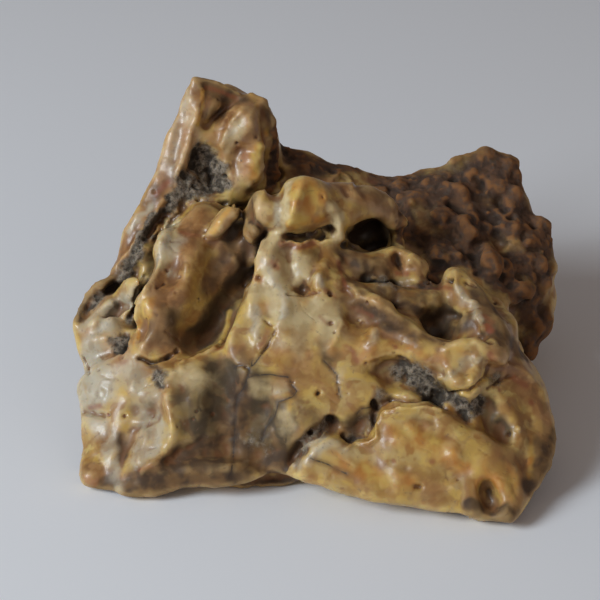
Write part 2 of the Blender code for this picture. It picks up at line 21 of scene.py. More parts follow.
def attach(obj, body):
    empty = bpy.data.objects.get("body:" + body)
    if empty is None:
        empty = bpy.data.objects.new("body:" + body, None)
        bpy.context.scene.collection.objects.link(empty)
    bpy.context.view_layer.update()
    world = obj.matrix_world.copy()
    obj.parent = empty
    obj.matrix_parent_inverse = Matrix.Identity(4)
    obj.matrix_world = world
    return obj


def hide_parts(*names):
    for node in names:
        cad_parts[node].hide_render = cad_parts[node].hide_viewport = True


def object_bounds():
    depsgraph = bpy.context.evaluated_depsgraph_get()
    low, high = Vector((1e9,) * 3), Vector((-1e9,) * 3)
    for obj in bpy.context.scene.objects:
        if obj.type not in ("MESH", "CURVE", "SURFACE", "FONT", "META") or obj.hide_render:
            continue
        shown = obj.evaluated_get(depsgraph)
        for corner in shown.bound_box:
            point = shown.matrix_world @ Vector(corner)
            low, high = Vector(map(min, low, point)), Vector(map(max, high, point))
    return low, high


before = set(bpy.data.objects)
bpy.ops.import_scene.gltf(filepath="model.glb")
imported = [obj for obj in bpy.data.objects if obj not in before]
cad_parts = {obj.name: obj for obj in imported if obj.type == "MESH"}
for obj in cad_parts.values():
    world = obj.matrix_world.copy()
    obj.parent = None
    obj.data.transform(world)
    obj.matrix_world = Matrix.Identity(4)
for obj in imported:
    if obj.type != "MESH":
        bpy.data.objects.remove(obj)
CAD_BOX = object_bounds()

MM = 0.001
SQUARE = 0.25 * MM  # one square of the sheet at the stone's middle
SHEET = 600
TILT = math.radians(30)  # the line of sight points down by this much
EYE_DISTANCE = 0.5
SHEET_MIDDLE = Vector((-5.3, -4.03, 33.7)) * MM
AWAY = Vector((0, math.cos(TILT), -math.sin(TILT)))
UP = Vector((0, math.sin(TILT), math.cos(TILT)))
RIGHT = Vector((1, 0, 0))
EYE = SHEET_MIDDLE - AWAY * EYE_DISTANCE

SKIN_VOXEL = 0.42 * MM
COARSE_VOXEL = 1.6 * SKIN_VOXEL
SKIN_FACES = 196000
FRONT_THINNING = 0.62  # how readily the faces of the display side are merged, where hidden ones count 1
REST_BAND = 0.2 * MM  # what comes this close to the resting flat is made level with it
TRACE_STEP = 4  # squares between the points of a traced path
BROAD = 1.4  # strokes at least this wide are pressed into the coarse skin, before the fine remesh
SHARPNESS = 1.6  # how steeply a sharp stroke falls off
LEVEL_SHARE = 0.45  # how much of a flat stroke's width is level

# How far strokes and coats wander off their paths: by how much, over what length, and with which seeds.
DRIFT, DRIFT_SIZE, DRIFT_SEEDS = 0.35 * MM, 4 * MM, (3.7, 5.1, 8.3)
STRAY, STRAY_SIZE, STRAY_SEEDS = 0.7 * MM, 2 * MM, (1.9, 4.4, 6.1)
LOOSE_DRIFT = 1.6 * MM
LOOSE_FROM = 2  # coat strokes at least this wide have loose edges
EVEN_FROM = 1.2  # strokes wider than this vary less in height along their paths

# Strokes that shape the display face, sharp across: crests and lips that stand out, slits and seams cut in.
SHARP = {
    # tower
    "tower_side": "-0.6 1.5: 264,112 262,130 264,150 262,168 254,184 248,200",
    "tower_ridge": "0.9 2: 192,76 199,84 201,95 197,115 190,133 187,148 182,161 178,174 174,186",
    "tower_cap_edge": "0.5 1: 200,80 222,84 238,93",
    "tower_crevice": "-1.1 1.8: 206,126 213,117 223,109 236,100",
    "lobe_ridge": "0.9 1.8: 243,108 232,122 226,134 222,146",
    "edge_hole": "-1.6 1.5: 197,152 194,161 188,170 182,180",
    "porous_hole": "-1.8 1.3: 207,169 210,179",
    "porous_hole_low": "-1.8 1.2: 195,186 198,190",
    "porous_hole_right": "-1.4 0.9: 225,176",
    "under_tower": "-1.8 1.1: 198,199 212,200 226,203 240,206",
    # left rim and gully
    "rim_crest": "0.7 1.3: 164,200 153,217 145,227 135,241 126,256 112,271",
    "gully_hole": "-1 1.8: 141,262 128,280",
    "gully_hole_low": "-1.6 2: 118,283 106,291 95,302 86,314",
    # slab
    "slab_top_edge": "0.6 1.1: 193,200 181,208 170,217 164,229",
    "slab_crest": "1.1 1.3 2.2: 172,228 168,243 161,270 154,285 144,297 139,309 140,322 137,341",
    "slab_step": "-0.9 0.9: 146,276 139,289 135,300",
    "slab_slit": "-1.7 0.9: 135,306 130,317",
    "cup_slit": "-1.2 0.7: 157,288 165,284",
    "slab_crack": "-0.7 0.5: 165,332 172,336 179,341",
    "slab_foot": "-2 1: 138,358 150,362 166,358 177,351",
    "nub_groove": "-0.4 1.6: 240,212 232,226 222,238",
    "nub_groove_left": "-0.6 1: 224,207 212,221 205,231",
    # nose and mouth
    "nose_crest": "1.3 2.6: 302,184 299,194 294,206 289,226",
    "nose_rim": "0.7 1: 264,193 275,186 284,178",
    "nose_slit": "-2.8 1.4: 286,237 299,238 312,234 322,230 331,227",
    "slit_lip": "0.8 1.2: 282,244 292,243 301,245 311,241 322,244 335,240",
    "nose_pit": "-1.2 1.6: 344,189 347,194",
    "nose_pit_rim": "0.7 1.2: 331,180 339,174 347,178 352,186",
    "scroll_under": "-0.7 1.4: 340,266 349,278 358,289 369,296",
    # snout and face
    "snout_crest": "0.4 2.6: 283,236 272,248 267,260 269,272 277,284 284,296 286,305 280,321",
    "snout_edge": "0.6 1.8: 264,242 257,258 251,271 248,287 250,300 253,314",
    "snout_dent": "-0.5 1.2: 276,266",
    "face_valley": "-0.8 2.2: 322,252 314,266 304,280 301,290",
    "face_seam": "-0.9 0.8: 288,294 304,296 320,292",
    "face_pit_right": "-1.8 1.4: 345,290 352,296",
    "face_ridge": "0.8 1.4: 353,284 358,290 352,303",
    "blade": "1 1.2 1.8: 230,309 228,315 227,328 223,342",
    "blade_return": "0.7 1.2: 223,342 214,349 203,354 194,359 183,362",
    "pyramid": "1 2.3: 262,322 256,336",
    "pyramid_groove": "-0.8 0.9: 264,320 274,330 268,345 262,352",
    "short_ridge": "0.6 2.4 1.6: 343,323 337,334 331,346",
    "brow_crest": "0.4 1.6: 366,296 376,303 390,311 408,321 423,333 440,342 450,344 462,340 471,333",
    # thumb, bowl and roll
    "thumb_slit": "-1.6 0.9: 447,279 453,280",
    "thumb_slit_right": "-1.8 1: 467,282 474,285",
    "thumb_ridge": "0.9 1.5: 456,272 457,286 460,297 472,304",
    "thumb_line": "-0.7 0.6: 468,312 480,308",
    "thumb_low": "1 1.4: 477,312 479,322 484,330",
    "corner_edge": "0.9 1.6: 472,338 487,353 505,364 520,370 532,378",
    "roll_under": "-1.1 1.1: 449,395 470,391 485,378 489,366",
    "roll_under_right": "-1 1: 489,388 500,380 512,376",
    # trench, eye and ash beds
    "eye_line": "-0.45 1.2: 364,366 381,359 395,355 407,360 408,372 402,386",
    "plate_lip": "0.8 0.9: 289,473 296,466 303,450 310,445 321,439 327,433",
    "plate_lip_middle": (
        "0.8 0.9: 347,449 355,443 369,443 378,437 377,425 384,413 400,408 412,409 428,407 441,411"),
    "trench": "-1.2 1.4: 291,462 301,443 316,427",
    "trench_hole": "-2.8 1.5: 330,420 333,426",
    "trench_hole_low": "-2.4 1.3: 344,436 350,441",
    "trench_hole_right": "-2.4 1.3: 374,404 377,408",
    "trench_hole_left": "-1.8 1.1: 310,433",
    "trench_line": "-1.5 1.1: 352,438 366,436 372,424 374,410 392,397 412,400 430,399 446,408",
    "round_hole": "-1.6 1: 318,393",
    "dark_bed_hole": "-1.8 1.5: 462,412 468,420",
    "green_slot": "-0.7 1.5: 482,404 484,418 488,432",
    "plate_rib": "0.3 1.5: 536,400 541,420 543,440",
    "pit_slot": "-0.8 1.1: 488,491 489,506",
    "small_pit": "-1.2 1.3: 416,488 419,488",
    # cheek, shell and foot
    "cheek_pocket_tip": "-0.8 1.2: 122,357 129,341",
    "cheek_crack": "-1.4 0.8: 83,357 86,366 89,373",
    "lilac_seam": "-0.6 1.4: 133,429 146,425 158,420",
    "cheek_seam": "-0.9 1.4: 154,366 166,375 158,384 165,390",
    "shell_crest": "0.8 2.2 1.8: 164,392 168,406 172,416 173,428 172,438 167,450 158,461 140,471",
    "shell_arc": "-0.2 1.2: 190,380 206,378 220,386 228,400",
    "shell_seam": "-0.6 1.4: 168,460 181,450 200,440 214,435 234,437",
    "cheek_rib": "0.35 1.6: 112,425 110,436 106,450",
    "cheek_slot": "-0.4 1.5: 122,434 121,446 121,462",
    "cheek_rib_right": "0.35 1.6: 142,432 136,444 128,456",
    "cheek_rib_far": "0.3 1.4: 147,434 142,448 139,460",
    "knob_groove": "-0.35 1.4: 86,458 98,457 104,468 103,482",
    "foot_groove": "-0.7 1.6: 138,468 135,480 128,490",
}

# Strokes that are round across: swells, ribs and beads, dents and valleys.
ROUND = {
    # tower
    "tower_right": "1.6 3: 258,150 258,174",
    "crevice_fill": "1.2 3: 213,105 207,117",
    "tower_heel": "1.6 3.6: 250,160 250,182",
    "tower_fill": "3 3.6: 270,172",
    "tower_lobe": "0.8 4: 250,118 256,142",
    "porous_bed_base": "-0.5 5: 198,158 210,180 190,190",
    "tower_knob": "1.3 2.4: 252,98 264,104",
    "tower_knob_right": "1.2 2.6: 272,120 273,132",
    "tower_bead": "0.6 1.6: 196,112 195,120",
    "tower_bead_low": "0.5 1.4: 187,144 186,150",
    "tower_flute": "-0.4 1.6: 186,95 181,118 177,140 174,160",
    "tower_cap_dip": "-0.6 2.6: 208,88 228,92",
    "lobe_bump": "0.6 2.2: 248,120 250,126",
    "lobe_bump_low": "0.6 2.4: 256,142 258,154",
    "lobe_pit": "-1.1 0.9: 237,144",
    "lobe_pit_right": "-0.8 0.7: 257,137",
    "lobe_valley": "-0.7 1.8: 240,150 232,158 236,170",
    # left rim and gully
    "rim_dent": "-2.6 3.4: 94,290 86,300",
    "gully_end": "2.2 2.8: 140,287 126,298",
    "gully_fill": "4.2 4.5: 172,204 160,226 146,248 126,274",
    "rim_bulge": "-0.6 2.4: 91,283 86,294",
    "rim_tip": "0.5 1.2: 76,325",
    # slab
    "nub_gap": "4.5 3.4: 253,226 251,244 248,262",
    "slot_low": "4.5 3.2: 131,296 130,310 129,324",
    "nub_right": "2 4.5: 244,222 240,240",
    "slot_left": "2.4 2.6: 134,292 127,302",
    "slab_edge": "1.8 3.4: 172,222 165,236 159,254 150,274",
    "slab_right": "3 7: 238,234 232,262",
    "nub_base": "2 3.2: 232,212 220,226 212,232",
    "gorge": "-1 5: 250,278 232,300 214,322 194,346 176,357",
    "slab_crest_base": "0.8 3.2: 176,236 164,268 150,294 141,318",
    "cup": "-0.4 3.2: 175,263 177,272 172,280",
    "cup_pit": "-0.5 0.8: 168,270",
    "cup_pit_right": "-0.5 0.8: 180,277",
    "slab_valley": "-0.4 4.5: 208,236 206,262 198,285 184,312",
    "slab_belly": "0.8 5: 160,318 164,338",
    "slab_speck": "-0.7 0.6: 207,293",
    "slab_speck_low": "-0.6 0.6: 199,299",
    "nub": "1.5 2.4: 233,210 224,220 213,231",
    # nose and mouth
    "ear_lift": "1.2 2.4: 412,258 422,268",
    "ear_floor": "2 2.8: 392,272 400,276",
    "nose_fall": "-0.4 3.2: 316,190 312,214",
    "ear_hollow": "-1.5 2: 396,257 399,266",
    "scroll_low": "2.4 4: 358,270 376,272 390,274",
    "arch": "1.2 3: 391,204 394,218 392,234",
    "slot_fill": "3.2 4.5: 372,279 396,284 424,284",
    "lobe_fill": "2.6 4.5: 266,200 266,222",
    "ear": "2 5: 408,266 413,273",
    "nose_facet": "-0.4 2.6: 281,196 278,210",
    "nose_lobe": "0.2 4: 258,200 254,212 254,224",
    "drip": "1.3 2.3: 332,208 338,221 338,234 342,240",
    "hump": "0.6 3: 372,190 388,200",
    "hump_valley": "-0.6 1.6: 353,176 357,186 366,196",
    "scroll_crest": "0.8 3: 342,246 352,256 366,262 382,262",
    # snout and face
    "brow_back": "2.6 5.5: 384,298 410,306 432,306",
    "above_brow": "0.9 3: 376,298 393,308",
    "face_valley_base": "-0.8 3: 318,256 304,286",
    "snout_trough": "-0.3 1.5: 262,262 259,282 264,298 267,318",
    "snout_pit": "-0.7 1.1: 257,278",
    "face_band": "0.7 2.5: 297,250 297,266",
    "face_lobe": "1.1 2.6: 318,276",
    "face_lobe_top": "0.9 2.2: 337,260",
    "face_lobe_low": "0.8 1.8: 336,284",
    "face_pit": "-1 1.2: 331,293",
    "face_dent": "-0.6 1.5: 336,270",
    "short_valley": "-0.5 2.6: 334,322 326,338 322,356",
    "short_pit": "-0.6 1: 331.5,323",
    "band_valley": "-0.6 2: 349,318 361,325 374,324",
    "band_pit": "-1 0.8: 362,324",
    "band_pit_top": "-1 0.7: 367,303",
    "pale_lobe": "1 2.5: 374,330 372,342",
    "brow_band": "0.6 2: 385,327 405,337 425,347 445,352",
    # thumb, bowl and roll
    "bowl_base": "1.4 5: 434,322 452,330 464,326",
    "bowl": "-0.3 3: 430,322 446,330 460,328",
    "thumb_bead": "0.8 1.5: 474,303",
    "knuckle_pit": "-1.1 0.7: 496,303",
    "under_thumb": "-1.6 1.6: 452,317 462,319",
    "roll": "0.7 2.4: 442,380 455,384 470,380 478,368 477,358",
    "roll_bead": "0.9 1.8: 477,359",
    "roll_bead_left": "0.8 1.4: 450,371",
    "roll_bead_low": "0.7 1.2: 440,378",
    "roll_bead_right": "0.8 1.4: 471,380",
    # trench, eye and ash beds
    "ash_rise": "1.2 3.4: 416,372 430,384",
    "trench_base": "-0.9 2.8: 296,456 316,434 334,422 352,436 372,424 378,406",
    "ash_bed_base": "-0.2 5: 404,372 424,384 446,402 468,410",
    "green_bed_base": "-0.4 5: 488,410 498,430",
    "eye_hollow": "-0.8 3: 372,370 386,364 400,362",
    "eye_lens": "1 2.4: 384,373 392,369",
    "ash_bed": "-0.5 4: 412,372 424,382 440,392",
    "dark_bed": "-0.7 3: 455,401 466,411 476,407",
    "green_bed": "-0.3 3.2: 490,408 494,420 500,432",
    "green_bump": "0.8 1.8: 496,418",
    "green_pit": "-1.2 0.9: 509,435",
    "plate_bead": "0.9 1.2: 518,429",
    "plate_flute": "-0.3 1.4: 531,418 531,440 534,458",
    "pit_funnel": "-1 3.6: 486,490 490,502",
    "plate_swell": "0.6 3: 455,455",
    "plate_swell_left": "0.6 3: 400,440",
    "plate_dip": "-0.6 2.2: 424,430 450,437",
    "plate_dip_low": "-0.5 2: 392,462 404,468",
    "plate_swell_low": "0.5 2.2: 452,486",
    "plate_swell_right": "0.6 2.4: 515,470 520,490",
    # cheek, shell and foot
    "pocket_fill": "1.6 3: 120,344",
    "under_foot": "-2 4: 258,484 282,482",
    "cheek_gap": "2.2 3: 96,328 112,328 126,326",
    "cheek_top": "1.4 5: 104,322 128,302",
    "shell_fall": "-2.2 8: 222,404 226,440",
    "shell_rise": "0.8 4: 174,398 174,430",
    "shell_under": "-0.9 4: 170,460 196,450 222,448 250,456",
    "pane_fall": "-1.2 7: 262,420 276,450",
    "cheek_crest": "1.2 2.2: 136,292 118,298 104,308 92,322",
    "cheek_dot": "-0.8 0.6: 99,370",
    "cheek_groove": "-0.8 1.3: 79,412 92,413 104,416",
    "cheek_swell": "0.6 3: 88,392 100,396",
    "red_pit": "-1 0.8: 108.5,415",
    "red_pit_right": "-0.9 0.7: 124.5,416",
    "lilac_dent": "-0.7 2.6: 136,412 150,411",
    "stub": "0.7 1.6: 180,362 180,369",
    "shell": "1 6: 200,404",
    "shell_pit": "-1 0.9: 213,414.5",
    "shell_hollow": "-0.3 2.4: 176,461 200,452 225,450",
    "orange_knob": "0.8 3: 91,476",
    "foot_ledge": "0.3 2.6: 160,474 185,472 208,474",
    "foot_gap": "-0.5 2: 236,466 250,470 264,468",
}

# Strokes with a flat bottom: porous beds, pockets, and caves in the face.
FLAT = {
    "porous_bed": "-0.2 4.5: 200,160 208,176 216,186",
    "mouth": "-0.9 2.6: 352,240 362,232 374,226",
    "mouth_low": "-0.9 2.2: 356,246 370,248 384,244",
    "nose_cave": "-3 1.6: 321,231 329,230",
    "face_hollow": "-1 1.8: 301,289 310,293",
    "nook": "-1.2 1.4: 482,337 490,340",
    "cheek_pocket": "-0.8 1.8: 118,343 124,337 124,349",
}

# Hairline cracks of the display face. They are cut narrow, and stained dark.
CRACKS = {
    "long": "252,360 249,374 246,384 238,396 236,412 234,433 234,454 231,478",
    "pane_top": (
        "248,379 256,375 270,374 282,376 289,377 291,384 297,391 293,397 279,402 275,416 266,427 262,440"),
    "pane_left": "235,366 241,365 248,368 251,374",
    "jaw": "324,361 331,368 337,375 338,385 340,396",
    "whisker": "372,407 362,408 357,414",
    "plate": "310,458 329,466 346,474",
    "pyramid": "268,345 262,354 252,366",
}
CRACK_DEPTH = 0.2
CRACK_HALF_WIDTH = 0.45
HALO = 1.3  # how far dark staining reaches beside a crack

# Knobs and hollows of the crust behind the display face.
KNOBS = {
    "peak_right": "1.2 4.5: 489,158",
    "peak_left": "1.2 2.4: 455,160",
    "shoulder": "1.4 3: 517,192",
    "shoulder_low": "1.2 3.4: 537,220",
    "edge_bead": "1 1.6: 549,239",
    "flame": "1.2 2.4: 516,228 514,238",
    "flame_low": "1 2: 530,242",
    "middle": "1.3 2.6: 465,228 472,236",
    "ledge": "1 1.8: 434,216 446,218",
    "by_ear": "1.3 2.6: 436,256",
    "by_ear_right": "1.1 2.2: 458,256",
    "egg": "1.8 3.2: 488,250 492,272",
    "upper": "1.2 3.4: 494,187",
    "upper_left": "1.1 3: 463,195",
    "right_low": "1.1 2.8: 540,266",
    "ring": "1.2 2.6: 522,290 530,296",
    "edge_low": "1 2.4: 552,268",
    "far_left": "0.9 3: 402,170",
    "saddle": "0.9 2.4: 426,183",
    "saddle_left": "0.8 2: 352,165",
    "gap_upper": "-1.4 1.8: 454,180",
    "gap_right": "-1.6 2.2: 497,200 504,208",
    "gap_top": "-1.2 1.6: 475,180",
    "gap_middle": "-1.4 2.2: 450,205 460,212",
    "gap_low": "-1.8 2.4: 497,232 500,244",
    "gap_shoulder": "-1.4 1.8: 511,217",
    "gap_edge": "-1.6 2.4: 521,276",
    "gap_ring": "-1.3 1.4: 526,300",
    "gap_egg": "-1.6 2: 474,256 478,270",
    "gap_saddle": "-1 1.5: 408,176",
}

# The coats of the stone, where they lie on the display face; some strokes are painted highlights on lit
# edges and painted shade on shaded sides.
COATS = {
    "sand": [
        "1 8: 190,90 184,120 176,150 166,180", "1 8: 236,110 246,140 248,176",
        "1 7: 346,186 370,192 388,208", "0.9 8: 186,216 176,250 160,290 152,330",
        "0.8 6: 100,300 90,330 130,366", "0.8 5: 120,310 104,336", "0.8 4: 160,190 140,225 118,260",
        "0.7 6: 228,214 222,240", "0.7 5: 100,482 150,484 220,478", "0.6 6: 256,204 262,250 262,290",
        "0.6 6: 100,430 130,440 160,400", "0.4 8: 350,300 400,330",
    ],
    # cream: the cheek's pale beige, and painted highlights on lit edges and facets: the cheek top, slab
    # edge, lobe, nose, snout, thumb, roll and plate lip
    "cream_and_highlight": [
        "1.1 5: 80,362 79,384 80,404", "1 8: 92,360 99,390", "1 4.5: 112,314 104,326",
        "1 4: 134,296 124,308", "0.9 3: 138,290 122,300 108,312", "0.8 3: 160,412 163,436 152,452",
        "0.8 2.8: 256,332 254,312", "0.8 2.4: 169,226 165,244 157,264",
        "0.7 6.5: 88,345 88,372 92,398 96,425", "0.7 3: 318,276 325,282",
        "0.7 2.6: 458,286 462,298 472,304 478,318", "0.7 2.2: 174,268 176,278",
        "0.7 2: 152,204 141,217 130,233", "0.7 2: 266,258 270,272 280,286 286,300 280,318",
        "0.6 7: 128,372 144,392 148,420 140,448", "0.6 3.4: 178,240 172,252",
        "0.6 3: 112,430 108,452 114,472 118,490", "0.6 3: 297,256 298,270", "0.6 3: 298,464 316,452 332,446",
        "0.6 3: 104,306 90,318 80,330", "0.6 2.4: 476,360 452,372 442,379",
        "0.6 1.6: 279,192 276,210 278,224", "0.55 2: 230,128 224,140", "0.5 6: 110,368 130,384",
        "0.5 3: 187,92 178,124 173,152 170,172", "0.5 2.4: 374,332 371,344",
        "0.5 1.8: 302,448 316,442 326,436", "0.4 6: 116,316 100,330", "0.4 2.6: 336,440 346,447",
        "0.3 2.6: 468,472 456,486",
    ],
    # ivory: pale patches of the face and plate, and painted highlights on the slab's lit edge, the nose's
    # left facet, the cheek top and the roll
    "ivory_and_highlight": [
        "1.2 4: 172,222 165,242 158,262", "1.1 3: 286,186 284,206 281,226", "1 9: 266,286 290,312 322,320",
        "1 7: 276,248 290,262 300,274", "1 3.4: 332,206 338,220 338,236", "0.8 6: 112,312 104,326 128,300",
        "0.8 3.4: 398,424 408,434", "0.8 3.4: 448,448 458,460", "0.8 3: 344,458 352,466",
        "0.7 5: 326,452 350,456", "0.7 5: 446,370 466,366", "0.7 4: 238,126 228,142",
        "0.6 6: 176,376 190,372 200,380", "0.6 4: 284,412 288,428", "0.6 4: 258,388 280,388",
        "0.5 7: 276,344 310,340 340,338",
    ],
    "amber": [
        "1.5 3.4: 308,184 310,202 304,218", "1.4 3.2: 300,182 299,204 294,224",
        "1.1 3.2: 304,180 304,200 298,220", "1 2.2: 306,178 307,196 301,212 294,228",
        "0.9 2.6: 455,452 458,462", "0.9 2: 264,132 260,156 255,176", "0.9 1.6: 228,209 219,222 212,231",
        "0.9 1.5: 229,312 228,328 224,340", "0.8 3: 250,150 254,166 254,180", "0.8 2.4: 322,196 318,216",
        "0.8 2.4: 478,484 484,478", "0.8 1.6: 145,297 142,308 141,322 139,338",
        "0.8 1.2: 202,90 203,106 197,124", "0.8 1.2: 191,158 186,168 181,176", "0.7 3: 150,300 146,326",
        "0.7 3: 322,206", "0.7 2.6: 404,426 412,434", "0.7 2.4: 340,458 350,466",
        "0.7 1.4: 452,394 472,388 486,376", "0.6 7: 400,430 430,446 470,466 506,484",
        "0.6 5: 334,462 372,474 410,486", "0.6 3: 283,396 290,404", "0.6 2.6: 410,350 436,356 460,352",
        "0.6 2.4: 255,270 257,280", "0.6 1.4: 134,341 133,352", "0.55 5: 446,362 466,364 472,376",
        "0.5 5: 268,352 284,356", "0.5 4: 250,152 252,174 244,192", "0.5 3: 535,440 528,470",
        "0.45 6: 340,344 372,350 400,352", "0.4 4: 318,330 314,350", "0.4 4: 420,350 440,356",
        "0.4 3.5: 268,300 262,312", "0.4 3.5: 360,338 380,344", "0.4 3: 300,308 308,300",
    ],
    "caramel": [
        "1.3 5: 90,470 100,484 120,486", "1.2 4: 150,480 190,480 230,478", "1 9: 206,92 226,112 240,134",
        "1 8: 196,214 184,238 176,262 168,290", "1 5: 236,240 226,262 214,284",
        "1 5: 244,236 238,262 226,284", "1 5: 168,178 150,204 134,232 116,262 94,286",
        "1 5: 372,176 392,190 396,206", "1 4: 392,206 394,224", "1 3.5: 120,491 150,493 175,490",
        "0.9 7: 168,306 164,330 172,344", "0.9 5.5: 352,300 376,318 404,336 440,352",
        "0.9 5: 150,314 154,338", "0.9 5: 496,350 520,374", "0.9 5: 160,196 144,222 124,250",
        "0.9 4: 208,92 230,98", "0.8 6: 390,334 420,342 440,350", "0.8 6: 150,470 186,476 224,474",
        "0.8 5: 326,182 346,188 364,198", "0.8 5: 318,196 316,222", "0.8 5: 500,366 530,388 546,420",
        "0.8 5: 92,468 112,484 140,482", "0.8 4: 236,350 226,362", "0.8 4: 330,182 350,190 380,196",
        "0.8 4: 440,362 430,376", "0.8 4: 352,252 374,262 400,262 418,270", "0.7 6: 340,330 362,350 392,352",
        "0.7 6: 500,456 524,484 510,506", "0.7 5: 262,104 268,120", "0.7 5: 452,284 470,306 486,336",
        "0.7 4: 252,226 250,250", "0.7 4: 176,150 168,178", "0.6 6: 524,388 542,408 548,430 544,456",
        "0.6 6: 498,448 520,466 532,484", "0.6 6: 360,470 396,478 436,492", "0.6 5: 284,380 300,372 310,358",
        "0.6 5: 212,138 222,150", "0.6 5: 200,232 200,256", "0.6 5: 300,330 296,356",
        "0.6 5: 104,436 128,446 148,448", "0.6 5: 232,356 212,370", "0.6 4: 396,300 420,322",
        "0.6 4: 254,264 256,286", "0.6 3: 352,288 372,300 390,308", "0.5 5: 150,430 152,446",
        "0.5 4: 384,430 388,446",
    ],
    # olive: the olive-grey of the pane and the beds, and painted shade on the shell's right side and in the
    # gorge
    "olive_and_shade": [
        "1.8 9: 224,380 226,410 224,436", "1.3 8: 208,386 214,406 214,430", "1.1 5: 246,456 268,462 286,460",
        "1 8: 256,386 262,414 258,444", "1 6: 222,306 206,326 190,346", "1 5: 484,404 492,420 500,434",
        "1 3: 352,424 366,420", "0.9 4: 404,366 414,384", "0.9 3.4: 272,412 280,432",
        "0.8 6: 284,396 288,424 286,448", "0.8 5: 352,424 364,420", "0.7 8: 188,392 196,420",
        "0.7 6: 172,316 174,340", "0.7 6: 214,366 232,384", "0.6 5: 150,404 146,420",
        "0.5 5: 302,404 312,424", "0.5 4: 236,358 244,368", "0.5 4: 376,372 396,366",
        "0.5 4: 310,262 312,250", "0.5 2.6: 322,228 330,230", "0.4 4: 418,424 430,430",
    ],
    # umber: dark brown stains of the stone, and painted shade along the underside of the foot, in the foot's
    # hollow and on the slab's right side
    "umber_and_shade": [
        "1.3 5: 242,452 262,462 288,460", "1.2 6: 484,292 494,316 502,342",
        "1.2 4.5: 556,436 553,462 548,478", "1.2 4: 250,484 276,482 296,480",
        "1.2 3.6: 333,418 327,428 312,436 300,452", "1.2 3.5: 180,464 215,463 246,463",
        "1.1 4: 170,464 196,452 222,450 240,456", "1.1 3: 100,484 130,486 160,482 200,478 240,474",
        "1 6: 180,456 206,448 232,446", "1 5.5: 346,260 362,268 382,270", "1 5: 244,384 238,410 236,446",
        "1 5: 206,86 222,92 240,98", "1 5: 550,464 546,480", "1 4: 428,276 440,284",
        "1 4: 506,330 512,344 524,356", "1 4: 470,508 496,514 512,512",
        "0.9 6: 146,478 178,474 214,474 240,478", "0.9 5: 538,446 542,466 530,486",
        "0.9 4.6: 252,202 249,216 258,230", "0.9 3.6: 392,302 416,308", "0.9 3.6: 122,436 121,458",
        "0.9 3: 110,282 98,290 84,304 78,318", "0.8 6: 236,466 262,462 284,458",
        "0.8 5: 432,318 452,328 466,322", "0.8 4.5: 350,302 376,314 404,328",
        "0.8 4: 150,482 190,482 220,478", "0.8 4: 224,420 230,436",
        "0.8 3.4: 384,396 376,406 372,420 356,434", "0.8 3: 86,290 102,282 116,272",
        "0.8 3: 130,492 170,490 210,486 250,484", "0.8 3: 352,280 362,290",
        "0.8 2.5: 146,362 160,370 164,384", "0.8 2.5: 380,284 410,288 440,288", "0.7 5: 268,112 272,130",
        "0.7 5: 410,336 440,346", "0.7 4: 232,246 218,268 206,290", "0.7 4: 206,118 216,112",
        "0.7 3.6: 136,470 130,486", "0.6 5: 364,288 392,296 420,300 440,304", "0.6 4: 150,320 152,334",
        "0.6 4: 322,340 328,356", "0.6 4: 155,193 146,206", "0.6 3.5: 284,454 298,464",
        "0.6 3: 346,280 356,292", "0.55 6: 366,186 388,200 394,216", "0.5 5: 152,316 156,336",
        "0.5 5: 246,240 238,262", "0.5 4: 508,318 512,345", "0.5 4: 138,412 154,412",
        "0.5 4: 372,280 396,284 424,284", "0.5 3: 118,280 104,292",
    ],
    "ash": [
        "1.2 6.5: 198,156 206,170 212,182 198,188 186,184", "1.2 6: 410,370 422,382 432,396",
        "1.2 2.8: 176,196 164,208 152,222 143,240 133,258 120,278", "1.1 4.4: 456,402 468,410 478,402",
        "1.1 4: 440,398 454,400", "1.1 3.6: 120,340 124,350", "1 4: 222,170 224,186",
        "0.9 2.6: 158,374 162,386", "0.9 2.2: 118,283 106,291 95,302 86,314", "0.9 1.8: 134,308 129,320",
        "0.8 3.4: 366,280 388,284", "0.8 2: 348,440 356,438", "0.7 2.6: 490,376 498,380",
        "0.6 3: 332,421 326,428 312,436 300,452", "0.5 3.4: 252,438 262,446",
        "0.5 3.2: 384,396 376,406 370,422",
    ],
    "rind": [
        "1.3 2.6: 277,112 277,130 276,150 273,172 266,188", "1.2 2.6: 399,206 402,222 402,240",
        "1 16: 404,186 440,190 476,178 506,176", "1 14: 450,214 486,220 520,216 540,236",
        "1 9: 446,244 478,252 510,262 545,270", "1 9: 505,282 530,300 545,330 534,350",
        "1 7: 286,152 306,166 330,168 352,166", "1 5: 494,268 500,284",
        "1 4.5: 408,206 410,222 416,236 430,242 440,262", "1 4: 424,288 444,262 468,262 486,276",
        "1 3.4: 272,160 276,176 268,186", "1 3: 398,200 402,218 404,238", "0.9 4: 372,174 392,182 404,192",
    ],
    "rust": [
        "1 0.9: 108.5,415", "1 0.9: 124.5,416", "0.9 2.4: 88,478 94,480", "0.9 1.8: 282,244 300,247 312,243",
        "0.9 1.6: 487,326 491,330", "0.9 1.4: 490,354 494,360", "0.8 1.8: 253,276 260,280",
        "0.8 1.6: 398,273 407,274", "0.8 1.4: 531,403", "0.8 1.4: 500,390", "0.8 1.2: 395,347",
        "0.8 1.2: 394,461", "0.8 1.2: 467,424", "0.7 1.6: 272,262 277,268", "0.7 1.6: 326,290 334,296",
        "0.7 1.6: 512,378 526,386", "0.7 1.4: 432,462", "0.7 1.2: 338,262 342,276 346,290",
        "0.7 1: 331.5,323", "0.7 1: 362,324", "0.6 2.2: 240,150 248,160", "0.6 2: 440,290 452,284",
        "0.6 2: 346,350 352,360", "0.6 2: 114,356 126,362", "0.6 1.8: 362,178 384,186",
        "0.6 1.6: 268,330 262,346", "0.6 1.6: 168,182 156,194", "0.6 1.4: 100,406 90,408",
